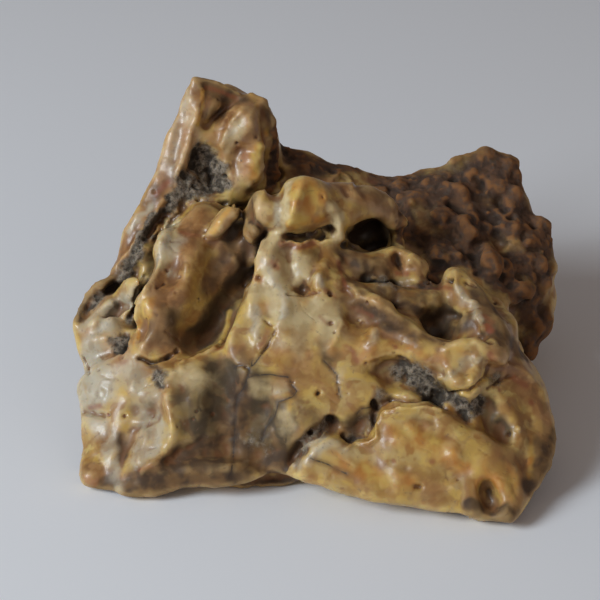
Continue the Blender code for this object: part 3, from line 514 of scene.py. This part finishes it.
        "0.6 1.2: 205,88 222,92 236,98", "0.6 1.2: 139,470 152,466", "0.6 1: 172,291",
        "0.5 1.6: 484,316 492,322", "0.5 1.4: 192,201 180,209 170,219", "0.5 1.2: 352,308 372,316",
        "0.5 1.2: 226,108 214,118", "0.5 1.2: 223,347 212,351", "0.5 1.2: 290,238 300,244",
        "0.5 1.1: 320,316 328,324", "0.5 1: 268,264 278,260", "0.5 1: 300,292 318,294",
        "0.5 1: 180,232 200,236", "0.4 1.6: 500,396 520,404",
    ],
}

# Loose knobs and pits: where they lie, how many, their heights and radii, and the share of pits.
DICE_SEED = 5
STREWN = (
    ("crust", 460, (0.6, 1.5), (1.8, 3.6), 0.35),
    ("crust", 140, (0.3, 0.6), (0.9, 1.6), 0.4),
    ("wax", 40, (0.2, 0.4), (1.8, 3.2), 0.5),
    ("wax", 90, (0.3, 0.6), (0.4, 0.7), 0.95),
)
HIDDEN_FROM = 0.45  # cosine to the line of sight past which knobs are strewn over a side
COATED = 0.6  # how much of a coat a vertex needs for a knob or pit of it

# Fine relief: the sizes of four noises, and how high each stands in the wax, the porous ash and the crust.
RELIEF_SIZES = (6, 2.6, 1.2, 0.8)
RELIEF = {"wax": (0.24, 0.08, 0.03, 0), "ash": (0, 0.4, 0.3, 0), "rind": (0.9, 0.4, 0.22, 0.12)}
WRINKLE_DEPTH, WRINKLE_SHARE = 0.15, 0.05
PORES, PORE_DEPTH, PORE_RADIUS = 14000, 0.45, 0.7
CRUST_PATCH, CRUST_PATCH_SEED, CRUST_FRAY, CRUST_EDGE = 22 * MM, 9.1, 0.35, 0.5  # where the crust begins

# What is measured on the finished skin, for wear, stains, and the painted shade of hollows and painted
# highlights of crests.
SKY_LOOKS, SKY_START, SKY_REACH = 26, 0.15 * MM, 14 * MM  # directions, and from and to what distance
SKY_LOW = 0.15  # the lowest cosine to the normal that counts
CREST_HEIGHTS = {"crest": (12, 0.5), "ridge": (70, 2.4)}  # rounds of smoothing, and the height from 0 to 1

# The material's noises: size, detail, roughness and distortion.
NOISES = {
    "broad": (11, 3, 0.5, 0.6),
    "blotch": (5.5, 3, 0.55, 0.4),
    "cloud": (4.2, 2, 0.5, 0.3),
    "fleck": (1.6, 4, 0.6, 0.3),
    "speck": (0.55, 3, 0.6, 0),
}

# The tones of each coat: the value that mixes its two tones and its bounds, the two tones, and then what is
# laid over them: a value, its bounds, how much is laid on at most, and the tone.
TONES = {
    "honey": (("broad", 0.38, 0.62), (0.38, 0.205, 0.048), (0.49, 0.33, 0.115),
              ("blotch", 0.52, 0.66, 0.7, (0.61, 0.44, 0.13)),
              ("cloud", 0.53, 0.64, 0.75, (0.56, 0.36, 0.08)),
              ("cloud", 0.5, 0.38, 0.75, (0.29, 0.125, 0.026))),
    "sand": (("blotch", 0.38, 0.62), (0.42, 0.245, 0.115), (0.56, 0.385, 0.21),
             ("cloud", 0.5, 0.38, 0.6, (0.36, 0.18, 0.07))),
    "caramel": (("blotch", 0.38, 0.62), (0.2, 0.085, 0.024), (0.37, 0.178, 0.055),
                ("cloud", 0.54, 0.66, 0.6, (0.47, 0.26, 0.1))),
    "olive_and_shade": (("cloud", 0.4, 0.62), (0.07, 0.044, 0.019), (0.135, 0.086, 0.034)),
    "umber_and_shade": (("cloud", 0.4, 0.65), (0.075, 0.04, 0.018), (0.18, 0.095, 0.034)),
    "ivory_and_highlight": (("cloud", 0.4, 0.6), (0.47, 0.34, 0.16), (0.58, 0.45, 0.24)),
    "amber": (("cloud", 0.3, 0.7), (0.5, 0.2, 0.025), (0.6, 0.39, 0.085)),
    "cream_and_highlight": (("broad", 0.4, 0.6), (0.46, 0.4, 0.29), (0.46, 0.37, 0.24),
              ("cloud", 0.46, 0.36, 0.7, (0.34, 0.26, 0.155)),
              ("fleck", 0.5, 0.7, 0.5, (0.34, 0.3, 0.24))),
    # the red-brown of the broad hollows: a stain, and painted shade
    "stain": (("cloud", 0.4, 0.6), (0.2, 0.085, 0.022), (0.26, 0.15, 0.055)),
    "ash": (("fleck", 0.35, 0.65), (0.11, 0.088, 0.066), (0.27, 0.22, 0.165),
            ("speck", 0.56, 0.7, 0.3, (0.42, 0.38, 0.32)),
            ("speck", 0.47, 0.36, 0.7, (0.05, 0.04, 0.03)),
            # painted shade: the ash darker in its fine hollows and where it sees little sky
            ("crest", 0.44, 0.15, 0.75, (0.035, 0.027, 0.02)),
            ("open", 0.65, 0.25, 0.8, (0.05, 0.038, 0.028))),
    "rind": (("blotch", 0.35, 0.65), (0.068, 0.04, 0.028), (0.145, 0.076, 0.043),
             # the knobs' tops: their own orange tone, and a painted highlight
             ("crest", 0.52, 0.95, 0.75, (0.26, 0.115, 0.04)),
             ("fleck", 0.5, 0.66, 0.6, (0.1, 0.075, 0.058)),
             # painted shade: the crust darker in the gaps between its knobs and where it sees little sky
             ("crest", 0.42, 0.1, 0.6, (0.035, 0.023, 0.016)),
             ("open", 0.75, 0.25, 0.9, (0.028, 0.019, 0.014))),
}
# The waxy coats in the order in which they lie on the honey, and the noise that frays the edges of each.
WAXY = {"sand": "broad", "caramel": "blotch", "olive_and_shade": "broad", "umber_and_shade": "blotch", "ivory_and_highlight": "blotch",
        "amber": "blotch", "cream_and_highlight": "blotch"}
# Wear and painted light on the wax: rust and freckles; painted shade that reddens and darkens the hollows
# and what sees little sky; and painted highlights that pale the crests and ridges, partly wear.
WEAR_AND_PAINTED_LIGHT = (
    ("rust", 0, 0.9, 0.8, (0.26, 0.065, 0.022)),
    ("fleck", 0.6, 0.72, 0.35, (0.14, 0.06, 0.022)),
    # painted shade: the broad hollows redder
    ("ridge", 0.46, 0.15, 0.65, "stain"),
    # painted highlights: broad ridges and fine crests paler, partly wear
    ("ridge", 0.6, 0.9, 0.8, (0.13, 0.08, 0.03), "SCREEN"),
    ("crest", 0.6, 0.95, 0.8, (0.15, 0.1, 0.04), "SCREEN"),
    # painted shade: the fine hollows darker red-brown
    ("crest", 0.44, 0.1, 0.65, (0.18, 0.068, 0.022)),
    # painted shade: darker where the skin sees little sky
    ("open", 0.7, 0.2, 0.9, (0.055, 0.034, 0.018)),
)
# Cracks: the dark staining beside them, and their own colour and how much of it shows.
HALO_LAYER = ("halo", 0, 1, 0.7, (0.45, 0.4, 0.36), "MULTIPLY")
SOOT, SOOT_SHARE = (0.035, 0.025, 0.018), 0.9

# Gloss, by how dull the surface is: from where to where, and the values there.
GLOSS = {"Specular IOR Level": (0, 1, 0.5, 0.2), "Coat Weight": (0, 0.6, 0.28, 0)}
POLISH = (0.35, 0.7, 0.42, 0.6)  # the wax's roughness, by the blotches
DULLER = 0.38  # how much rougher the dullest surface is
QUARTZ = {
    "Coat Roughness": 0.16,
    "IOR": 1.54,
    "Subsurface Weight": 0.3,
    "Subsurface Radius": (1.0, 0.5, 0.2),
    "Subsurface Scale": 2.2 * MM,
}
BUMP = {"Strength": 0.4, "Distance": 0.25 * MM}
GRAIN = {"fleck": 0.6, "speck": 0.4}  # the noises that the bump is made of
FLOOR = {"Base Color": (0.84, 0.86, 0.9, 1), "Roughness": 0.9, "Specular IOR Level": 0.2}

# The lamps: place, power, size and colour. The room's light: colour and strength.
LAMPS = {
    "window": ((-0.9, -0.54, 0.68), 12.6, 0.5, (0.86, 0.94, 1.0)),
    "fill": ((0.6, -0.7, 0.45), 0.8, 0.9, (1.0, 0.86, 0.75)),
}
ROOM = {"Color": (1.0, 0.86, 0.79, 1), "Strength": 0.17}


def seen(right, down):
    """The point of the sheet's plane at one of its squares."""
    return SHEET_MIDDLE + (RIGHT * (right - SHEET / 2) + UP * (SHEET / 2 - down)) * SQUARE


def smooth_noise(points, size, seed):
    """A smooth random value for each point, from about -1 to 1, that varies over a length of size."""
    shift = Vector((seed, 2.3 * seed, -1.7 * seed))
    return np.array([noise.noise(Vector(point) / size + shift) for point in points])


def falloff(share, profile):
    """How much of a stroke's height is left at a share of its width from the path."""
    share = np.clip(share, 0, 1)
    if profile == "sharp":
        return (1 - share) ** SHARPNESS
    if profile == "flat":
        edge = np.clip((share - LEVEL_SHARE) / (1 - LEVEL_SHARE), 0, 1)
        return 1 - edge * edge * (3 - 2 * edge)
    return (1 - share * share) ** 2


def rows(items, name):
    """A vector that each of the mesh's items has, as rows of three numbers."""
    values = np.empty(len(items) * 3)
    items.foreach_get(name, values)
    return values.reshape(-1, 3)


def apply_modifier(obj, kind, **settings):
    """Adds a modifier, and takes its result as the object's mesh."""
    modifier = obj.modifiers.new(kind.lower(), kind)
    for name, value in settings.items():
        setattr(modifier, name, value)
    bpy.context.view_layer.update()
    result = bpy.data.meshes.new_from_object(obj.evaluated_get(bpy.context.evaluated_depsgraph_get()))
    obj.modifiers.clear()
    old = obj.data
    obj.data = result
    bpy.data.meshes.remove(old)


class Skin:
    """The skin's vertices, what a line of sight meets there, and how far each vertex is to move."""

    def __init__(self, obj):
        mesh = obj.data
        self.obj = obj
        self.points = rows(mesh.vertices, "co")
        self.normals = rows(mesh.vertex_normals, "vector")
        drift = [smooth_noise(self.points, DRIFT_SIZE, seed) for seed in DRIFT_SEEDS]
        stray = [smooth_noise(self.points, STRAY_SIZE, seed) for seed in STRAY_SEEDS]
        self.felt = self.points + DRIFT * np.stack(drift, axis=1)
        self.loose = self.points + LOOSE_DRIFT * np.stack(drift, axis=1) + STRAY * np.stack(stray, axis=1)
        self.vary = 0.9 * stray[0] + 0.5 * drift[1]
        self.tree = BVHTree.FromPolygons(self.points.tolist(), [face.vertices[:] for face in mesh.polygons])
        self.shift = np.zeros_like(self.points)

    def trace(self, path):
        """Where the lines of sight through a path on the sheet meet the skin."""
        stops = [Vector(stop) for stop in path]
        squares = [stops[0]]
        for start, end in zip(stops, stops[1:]):
            steps = max(1, round((end - start).length / TRACE_STEP))
            squares += [start.lerp(end, step / steps) for step in range(1, steps + 1)]
        hits = [self.tree.ray_cast(EYE, seen(*square) - EYE)[0] for square in squares]
        return np.array([hit for hit in hits if hit is not None])

    def near(self, cloud, places, widths):
        """Which vertices lie near a traced path, and how far off as a share of their side's half width."""
        reach = max(widths) * MM
        inside = np.all((cloud > places.min(0) - reach) & (cloud < places.max(0) + reach), axis=1)
        index = np.nonzero(inside)[0]
        felt = cloud[index]
        best = np.full(len(index), np.inf)
        side = np.zeros(len(index))
        ends = places if len(places) > 1 else np.repeat(places, 2, axis=0)
        for start, end in zip(ends, ends[1:]):
            run = end - start
            along = np.clip((felt - start) @ run / max(run @ run, 1e-12), 0, 1)
            offset = felt - start - along[:, None] * run
            gap = np.linalg.norm(offset, axis=1)
            closer = gap < best
            best[closer] = gap[closer]
            side[closer] = (offset @ np.cross(-np.array(AWAY), run))[closer]
        return index, best / (np.where(side >= 0, *widths) * MM)

    def press(self, profile, height, widths, places):
        """Raises or cuts the skin along a traced path."""
        if len(places) == 0:
            return
        index, share = self.near(self.felt, places, widths)
        weight = falloff(share, profile) * (1 + self.vary[index] * min(1, EVEN_FROM / max(widths)))
        facing = (self.normals[index] * weight[:, None]).sum(0)
        facing /= np.linalg.norm(facing) + 1e-12
        away = self.normals[index] + facing
        away /= np.linalg.norm(away, axis=1)[:, None] + 1e-9
        self.shift[index] += away * (weight * height * MM)[:, None]

    def draw(self, profile, height, widths, path):
        """Raises or cuts the skin along a path on the sheet."""
        self.press(profile, height, widths, self.trace(path))

    def coat(self, strokes):
        """How much of one coat lies on each vertex, from 0 to 1 or a little more."""
        cover = np.zeros(len(self.points))
        for strength, widths, path in strokes:
            places = self.trace(path)
            if len(places):
                cloud = self.felt if max(widths) < LOOSE_FROM else self.loose
                index, share = self.near(cloud, places, widths)
                cover[index] = np.maximum(cover[index], strength * falloff(share, "round"))
        return cover

    def swell(self, amount):
        """Moves every vertex out along its normal by an amount of its own, in millimetres."""
        self.shift += self.normals * (amount * MM)[:, None]

    def finish(self):
        """Moves the vertices of the mesh by what was pressed and swelled."""
        self.obj.data.vertices.foreach_set("co", (self.points + self.shift).ravel())
        self.obj.data.update()


def stops(text):
    """The positions of a path."""
    return [tuple(float(square) for square in stop.split(",")) for stop in text.split()]


def stroke(text):
    """A stroke's height or strength, the half widths of its left and right side, and its path."""
    sizes, path = text.split(":")
    height, *widths = (float(size) for size in sizes.split())
    return height, (widths[0], widths[-1]), stops(path)


def face_strokes(broad):
    """The profile and the stroke itself, for each stroke that is broad or for each that isn't."""
    for profile, table in (("sharp", SHARP), ("round", ROUND), ("flat", FLAT)):
        for height, widths, path in map(stroke, table.values()):
            if (max(widths) >= BROAD) == broad:
                yield profile, height, widths, path


def fine_skin(node):
    """The solid's surface as a fine, even mesh without its facets, with the broad strokes pressed in."""
    skin = bpy.data.objects.new("stone_skin", node.data.copy())
    bpy.context.scene.collection.objects.link(skin)
    shape = bmesh.new()
    shape.from_mesh(skin.data)
    bmesh.ops.remove_doubles(shape, verts=shape.verts, dist=0.001 * MM)
    shape.to_mesh(skin.data)
    shape.free()
    apply_modifier(skin, "SUBSURF", levels=1)
    apply_modifier(skin, "REMESH", mode="VOXEL", voxel_size=COARSE_VOXEL)
    apply_modifier(skin, "SMOOTH", factor=0.5, iterations=3)
    form = Skin(skin)
    for broad_stroke in face_strokes(broad=True):
        form.draw(*broad_stroke)
    form.finish()
    apply_modifier(skin, "REMESH", mode="VOXEL", voxel_size=SKIN_VOXEL)
    apply_modifier(skin, "SMOOTH", factor=0.5, iterations=5)
    return skin


def strew(skin, where, dice, count, heights, radii, pits):
    """Knobs and pits of random size at random places of one coat."""
    index = np.nonzero(where > COATED)[0]
    for number in index[dice.integers(0, len(index), count)]:
        height = dice.uniform(*heights) * (-1 if dice.random() < pits else 1)
        radius = dice.uniform(*radii)
        skin.press("round", height, (radius, radius), skin.points[number][None])


def gaps(points, middles):
    """For each point, the distance to the nearest of the middles."""
    tree = kdtree.KDTree(len(middles))
    for number, middle in enumerate(middles):
        tree.insert(middle, number)
    tree.balance()
    return np.array([tree.find(point)[2] for point in points])


def carve(obj):
    """Creases, knobs, cracks, porous beds and the crust's knobs, all pressed into the fine skin."""
    skin = Skin(obj)
    for fine_stroke in face_strokes(broad=False):
        skin.draw(*fine_stroke)
    for knob in KNOBS.values():
        skin.draw("round", *stroke(knob))
    for path in CRACKS.values():
        skin.draw("sharp", -CRACK_DEPTH, (CRACK_HALF_WIDTH, CRACK_HALF_WIDTH), stops(path))
    ash = skin.coat(map(stroke, COATS["ash"]))
    crust = skin.coat(map(stroke, COATS["rind"]))
    rind = np.maximum(crust, behind(skin))
    wax = (1 - ash) * (1 - rind)
    where = {"crust": np.maximum(crust, skin.normals @ np.array(AWAY) > HIDDEN_FROM), "wax": wax}
    dice = np.random.default_rng(DICE_SEED)
    for coat, *sizes in STREWN:
        strew(skin, where[coat], dice, *sizes)
    layers = [smooth_noise(skin.points, size * MM, seed) for seed, size in enumerate(RELIEF_SIZES, 1)]
    middles = skin.points[dice.integers(0, len(skin.points), PORES)]
    pores = np.clip(1 - gaps(skin.felt, middles) / MM / PORE_RADIUS, 0, 1)
    wrinkles = np.exp(-(layers[0] / WRINKLE_SHARE) ** 2) * np.clip(2 * layers[1] + 0.3, 0, 1)
    skin.swell(wax * (np.dot(RELIEF["wax"], layers) - WRINKLE_DEPTH * wrinkles))
    skin.swell(ash * (np.dot(RELIEF["ash"], layers) - PORE_DEPTH * pores))
    skin.swell(rind * np.dot(RELIEF["rind"], layers))
    skin.finish()


def behind(skin):
    """How surely a vertex lies on the hidden sides, which the crust covers."""
    turned = skin.normals @ np.array(AWAY)
    patches = smooth_noise(skin.points, CRUST_PATCH, CRUST_PATCH_SEED)
    return np.clip((turned + CRUST_FRAY * patches) / CRUST_EDGE, 0, 1)


def thin_faces(obj):
    """Fewer and larger faces, the largest of them on the hidden sides."""
    group = obj.vertex_groups.new(name="hidden")
    hidden = np.round(0.5 + 0.5 * rows(obj.data.vertex_normals, "vector") @ np.array(AWAY), 1)
    for level in np.unique(hidden):
        weight = FRONT_THINNING + (1 - FRONT_THINNING) * float(level)
        group.add(np.nonzero(hidden == level)[0].tolist(), weight, "REPLACE")
    ratio = SKIN_FACES / (2 * len(obj.data.polygons))
    apply_modifier(obj, "DECIMATE", ratio=ratio, vertex_group="hidden", vertex_group_factor=1.0)
    obj.vertex_groups.clear()


def keep_in_box(obj):
    """Keeps the skin within the solid's box, and flat where the stone rests."""
    points = np.clip(rows(obj.data.vertices, "co"), *(np.array(corner) for corner in CAD_BOX))
    points[points[:, 2] < REST_BAND, 2] = 0
    obj.data.vertices.foreach_set("co", points.ravel())
    obj.data.update()


def openness(skin):
    """The share of the sky that each vertex sees, out to a short distance."""
    turns = np.arange(SKY_LOOKS) + 0.5
    height = 1 - 2 * turns / SKY_LOOKS
    angle = math.pi * (1 + 5 ** 0.5) * turns
    round_about = np.sqrt(1 - height * height)
    aims = np.stack([round_about * np.cos(angle), round_about * np.sin(angle), height], axis=1)
    facing = skin.normals @ aims.T
    vectors = [Vector(aim) for aim in aims]
    cast = skin.tree.ray_cast
    result = np.ones(len(skin.points))
    for number, (point, normal) in enumerate(zip(skin.points, skin.normals)):
        start = Vector(point + normal * SKY_START)
        total = free = 0.0
        for which in np.nonzero(facing[number] > SKY_LOW)[0]:
            share = facing[number, which]
            total += share
            if cast(start, vectors[which], SKY_REACH)[0] is None:
                free += share
        result[number] = free / total if total else 1.0
    return result


def relief(obj, skin, rounds):
    """How far each vertex stands out of its surroundings, in millimetres: positive on a crest.

    Long edges, as on the hidden sides, spread the smoothing further, and the result is brought back by that.
    """
    edges = np.empty(len(obj.data.edges) * 2, dtype=int)
    obj.data.edges.foreach_get("vertices", edges)
    first, second = edges.reshape(-1, 2).T
    count = np.bincount(edges, minlength=len(skin.points))[:, None]
    lengths = np.linalg.norm(skin.points[first] - skin.points[second], axis=1)
    sums = np.bincount(first, lengths, len(count)) + np.bincount(second, lengths, len(count))
    coarse = np.maximum(1, sums / count[:, 0] / COARSE_VOXEL) ** 2
    soft = skin.points.copy()
    for _ in range(rounds):
        total = np.zeros_like(soft)
        for axis in range(3):
            total[:, axis] = (np.bincount(first, soft[second, axis], len(soft))
                              + np.bincount(second, soft[first, axis], len(soft)))
        soft = 0.5 * soft + 0.5 * total / count
    return ((skin.points - soft) * skin.normals).sum(1) / MM / coarse


def mark_coats(obj):
    """Stores on every vertex what the material needs: its coats, crests, hollows and cracks."""
    skin = Skin(obj)
    marks = {name: skin.coat(map(stroke, texts)) for name, texts in COATS.items()}
    marks["rind"] = np.maximum(marks["rind"], behind(skin))
    for name, width in (("soot", CRACK_HALF_WIDTH), ("halo", HALO)):
        marks[name] = skin.coat((1, (width, width), stops(path)) for path in CRACKS.values())
    for name, (rounds, height) in CREST_HEIGHTS.items():
        marks[name] = np.clip(0.5 + relief(obj, skin, rounds) / height, 0, 1)
    marks["open"] = openness(skin)
    for name, values in marks.items():
        layer = obj.data.attributes.new(name, "FLOAT", "POINT")
        layer.data.foreach_set("value", values)


def fill(inputs, settings):
    """Sets the sockets that are the same all over the surface."""
    for name, value in settings.items():
        inputs[name].default_value = value


class Nodes:
    """Short names for the nodes that the material is made of, and the values that they work on."""

    def __init__(self, material):
        material.use_nodes = True
        self.tree = material.node_tree
        self.shader = self.tree.nodes["Principled BSDF"]
        self.place = self.new("TexCoord").outputs["Object"]
        self.values = {name: self.noise(*settings) for name, settings in NOISES.items()}
        for name in (*COATS, "soot", "halo", *CREST_HEIGHTS, "open"):
            self.values[name] = self.mark(name)

    def new(self, kind):
        """A new shader node."""
        return self.tree.nodes.new("ShaderNode" + kind)

    def link(self, value, socket):
        """Gives a socket another's output, a number, or a colour."""
        if isinstance(value, (int, float, tuple)):
            socket.default_value = (*value, 1) if isinstance(value, tuple) else value
        else:
            self.tree.links.new(value, socket)

    def mark(self, name):
        """A value that is stored on the vertices."""
        node = self.new("Attribute")
        node.attribute_name = name
        return node.outputs["Fac"]

    def noise(self, size, detail, roughness, distortion):
        """Smooth noise from 0 to 1."""
        node = self.new("TexNoise")
        fill(node.inputs, {"Scale": 1 / (size * MM), "Detail": detail, "Roughness": roughness,
                           "Distortion": distortion})
        self.link(self.place, node.inputs["Vector"])
        return node.outputs["Fac"]

    def math(self, kind, *values):
        """A sum on sockets or numbers."""
        node = self.new("Math")
        node.operation = kind
        for value, socket in zip(values, node.inputs):
            self.link(value, socket)
        return node.outputs["Value"]

    def step(self, value, start, end, low=0.0, high=1.0):
        """Turns a value smoothly from low to high between start and end."""
        node = self.new("MapRange")
        node.interpolation_type = "SMOOTHSTEP"
        self.link(value, node.inputs["Value"])
        fill(node.inputs, {"From Min": start, "From Max": end, "To Min": low, "To Max": high})
        return node.outputs["Result"]

    def mix(self, share, first, second, kind="MIX"):
        """Lays a share of the second colour over the first."""
        node = self.new("Mix")
        node.data_type = "RGBA"
        node.blend_type = kind
        self.link(share, node.inputs["Factor"])
        colours = [socket for socket in node.inputs if socket.type == "RGBA"]
        self.link(first, colours[0])
        self.link(second, colours[1])
        return next(socket for socket in node.outputs if socket.type == "RGBA")

    def shake(self, name, grain, spread):
        """A stored value, broken up by a noise."""
        shaken = self.math("SUBTRACT", self.values[grain], 0.5)
        return self.math("MULTIPLY_ADD", shaken, spread, self.values[name])

    def cover(self, name, grain, spread=0.8):
        """How much of a coat shows."""
        return self.step(self.shake(name, grain, spread), 0.08, 0.85)

    def overlay(self, colour, layers):
        """Lays tones over a colour, each where its value lies between its bounds."""
        for name, start, end, most, tone, *kind in layers:
            share = self.step(self.values[name], start, end, 0, most)
            colour = self.mix(share, colour, self.tones(tone) if isinstance(tone, str) else tone, *kind)
        return colour

    def tones(self, coat):
        """The colour of one coat."""
        (name, start, end), dark, light, *layers = TONES[coat]
        return self.overlay(self.mix(self.step(self.values[name], start, end), dark, light), layers)


def desert_quartz():
    """Waxy coats over honey, porous ash, crust and cracks, each with its own colour, gloss and grain."""
    material = bpy.data.materials.new("desert_quartz")
    nodes = Nodes(material)
    inputs = nodes.shader.inputs
    covers = {name: nodes.cover(name, grain) for name, grain in WAXY.items()}
    ash = nodes.cover("ash", "fleck", 1.2)
    rind = nodes.cover("rind", "blotch")

    colour = nodes.tones("honey")
    for name, cover in covers.items():
        colour = nodes.mix(cover, colour, nodes.tones(name))
    # rust and freckles, painted shade in the hollows, and painted highlights on the crests
    colour = nodes.overlay(colour, WEAR_AND_PAINTED_LIGHT)
    colour = nodes.mix(ash, colour, nodes.tones("ash"))
    colour = nodes.mix(rind, colour, nodes.tones("rind"))
    colour = nodes.overlay(colour, [HALO_LAYER])
    crack = nodes.step(nodes.shake("soot", "fleck", 0.6), 0.35, 1)
    colour = nodes.mix(nodes.math("MULTIPLY", crack, SOOT_SHARE), colour, SOOT)
    nodes.link(colour, inputs["Base Color"])

    # gloss: the wax shines, the dark coats less, and ash and crust are dull
    dull = nodes.math("MAXIMUM", ash, rind)
    dark_coats = nodes.math("MAXIMUM", covers["olive_and_shade"], covers["umber_and_shade"])
    satin = nodes.math("MAXIMUM", dull, nodes.math("MULTIPLY", dark_coats, 0.5))
    polish = nodes.step(nodes.values["blotch"], *POLISH)
    nodes.link(nodes.math("MULTIPLY_ADD", satin, DULLER, polish), inputs["Roughness"])
    for name, bounds in GLOSS.items():
        nodes.link(nodes.step(satin, *bounds), inputs[name])
    fill(inputs, QUARTZ)

    # grain finer than the mesh
    bump = nodes.new("Bump")
    fill(bump.inputs, BUMP)
    fleck, speck = (nodes.math("MULTIPLY", nodes.values[name], share) for name, share in GRAIN.items())
    height = nodes.math("MULTIPLY", nodes.math("ADD", fleck, speck), nodes.step(dull, 0, 1, 0.35, 1.6))
    nodes.link(height, bump.inputs["Height"])
    nodes.link(bump.outputs["Normal"], inputs["Normal"])
    return material


def stone():
    """The skin that stands for the solid stone."""
    skin = fine_skin(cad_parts["stone"])
    carve(skin)
    thin_faces(skin)
    keep_in_box(skin)
    mark_coats(skin)
    skin.data.materials.clear()
    skin.data.materials.append(desert_quartz())
    skin.data.shade_smooth()
    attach(skin, "root")
    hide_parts("stone")


def floor():
    """A plain pale floor."""
    bpy.ops.mesh.primitive_plane_add(size=6)
    ground = bpy.context.object
    ground.name = "floor"
    material = bpy.data.materials.new("pale_floor")
    material.use_nodes = True
    fill(material.node_tree.nodes["Principled BSDF"].inputs, FLOOR)
    ground.data.materials.append(material)


def lamp(name, place, power, size, colour):
    """A square soft lamp that looks at the stone."""
    light = bpy.data.lights.new(name, "AREA")
    light.energy = power
    light.size = size
    light.color = colour
    obj = bpy.data.objects.new(name, light)
    obj.location = place
    obj.rotation_euler = (SHEET_MIDDLE - Vector(place)).to_track_quat("-Z", "Y").to_euler()
    bpy.context.scene.collection.objects.link(obj)


def studio():
    """The lamps and the room's light."""
    for name, settings in LAMPS.items():
        lamp(name, *settings)
    world = bpy.data.worlds.new("room")
    world.use_nodes = True
    fill(world.node_tree.nodes["Background"].inputs, ROOM)
    bpy.context.scene.world = world


def camera():
    """A camera at EYE, which sees the sheet as its whole frame."""
    data = bpy.data.cameras.new("camera")
    data.sensor_width = 36
    data.lens = data.sensor_width * EYE_DISTANCE / (SHEET * SQUARE)
    obj = bpy.data.objects.new("camera", data)
    obj.location = EYE
    obj.rotation_euler = AWAY.to_track_quat("-Z", "Y").to_euler()
    bpy.context.scene.collection.objects.link(obj)
    bpy.context.scene.camera = obj


camera()
floor()
studio()
stone()
bpy.context.scene.view_settings.view_transform = "Standard"
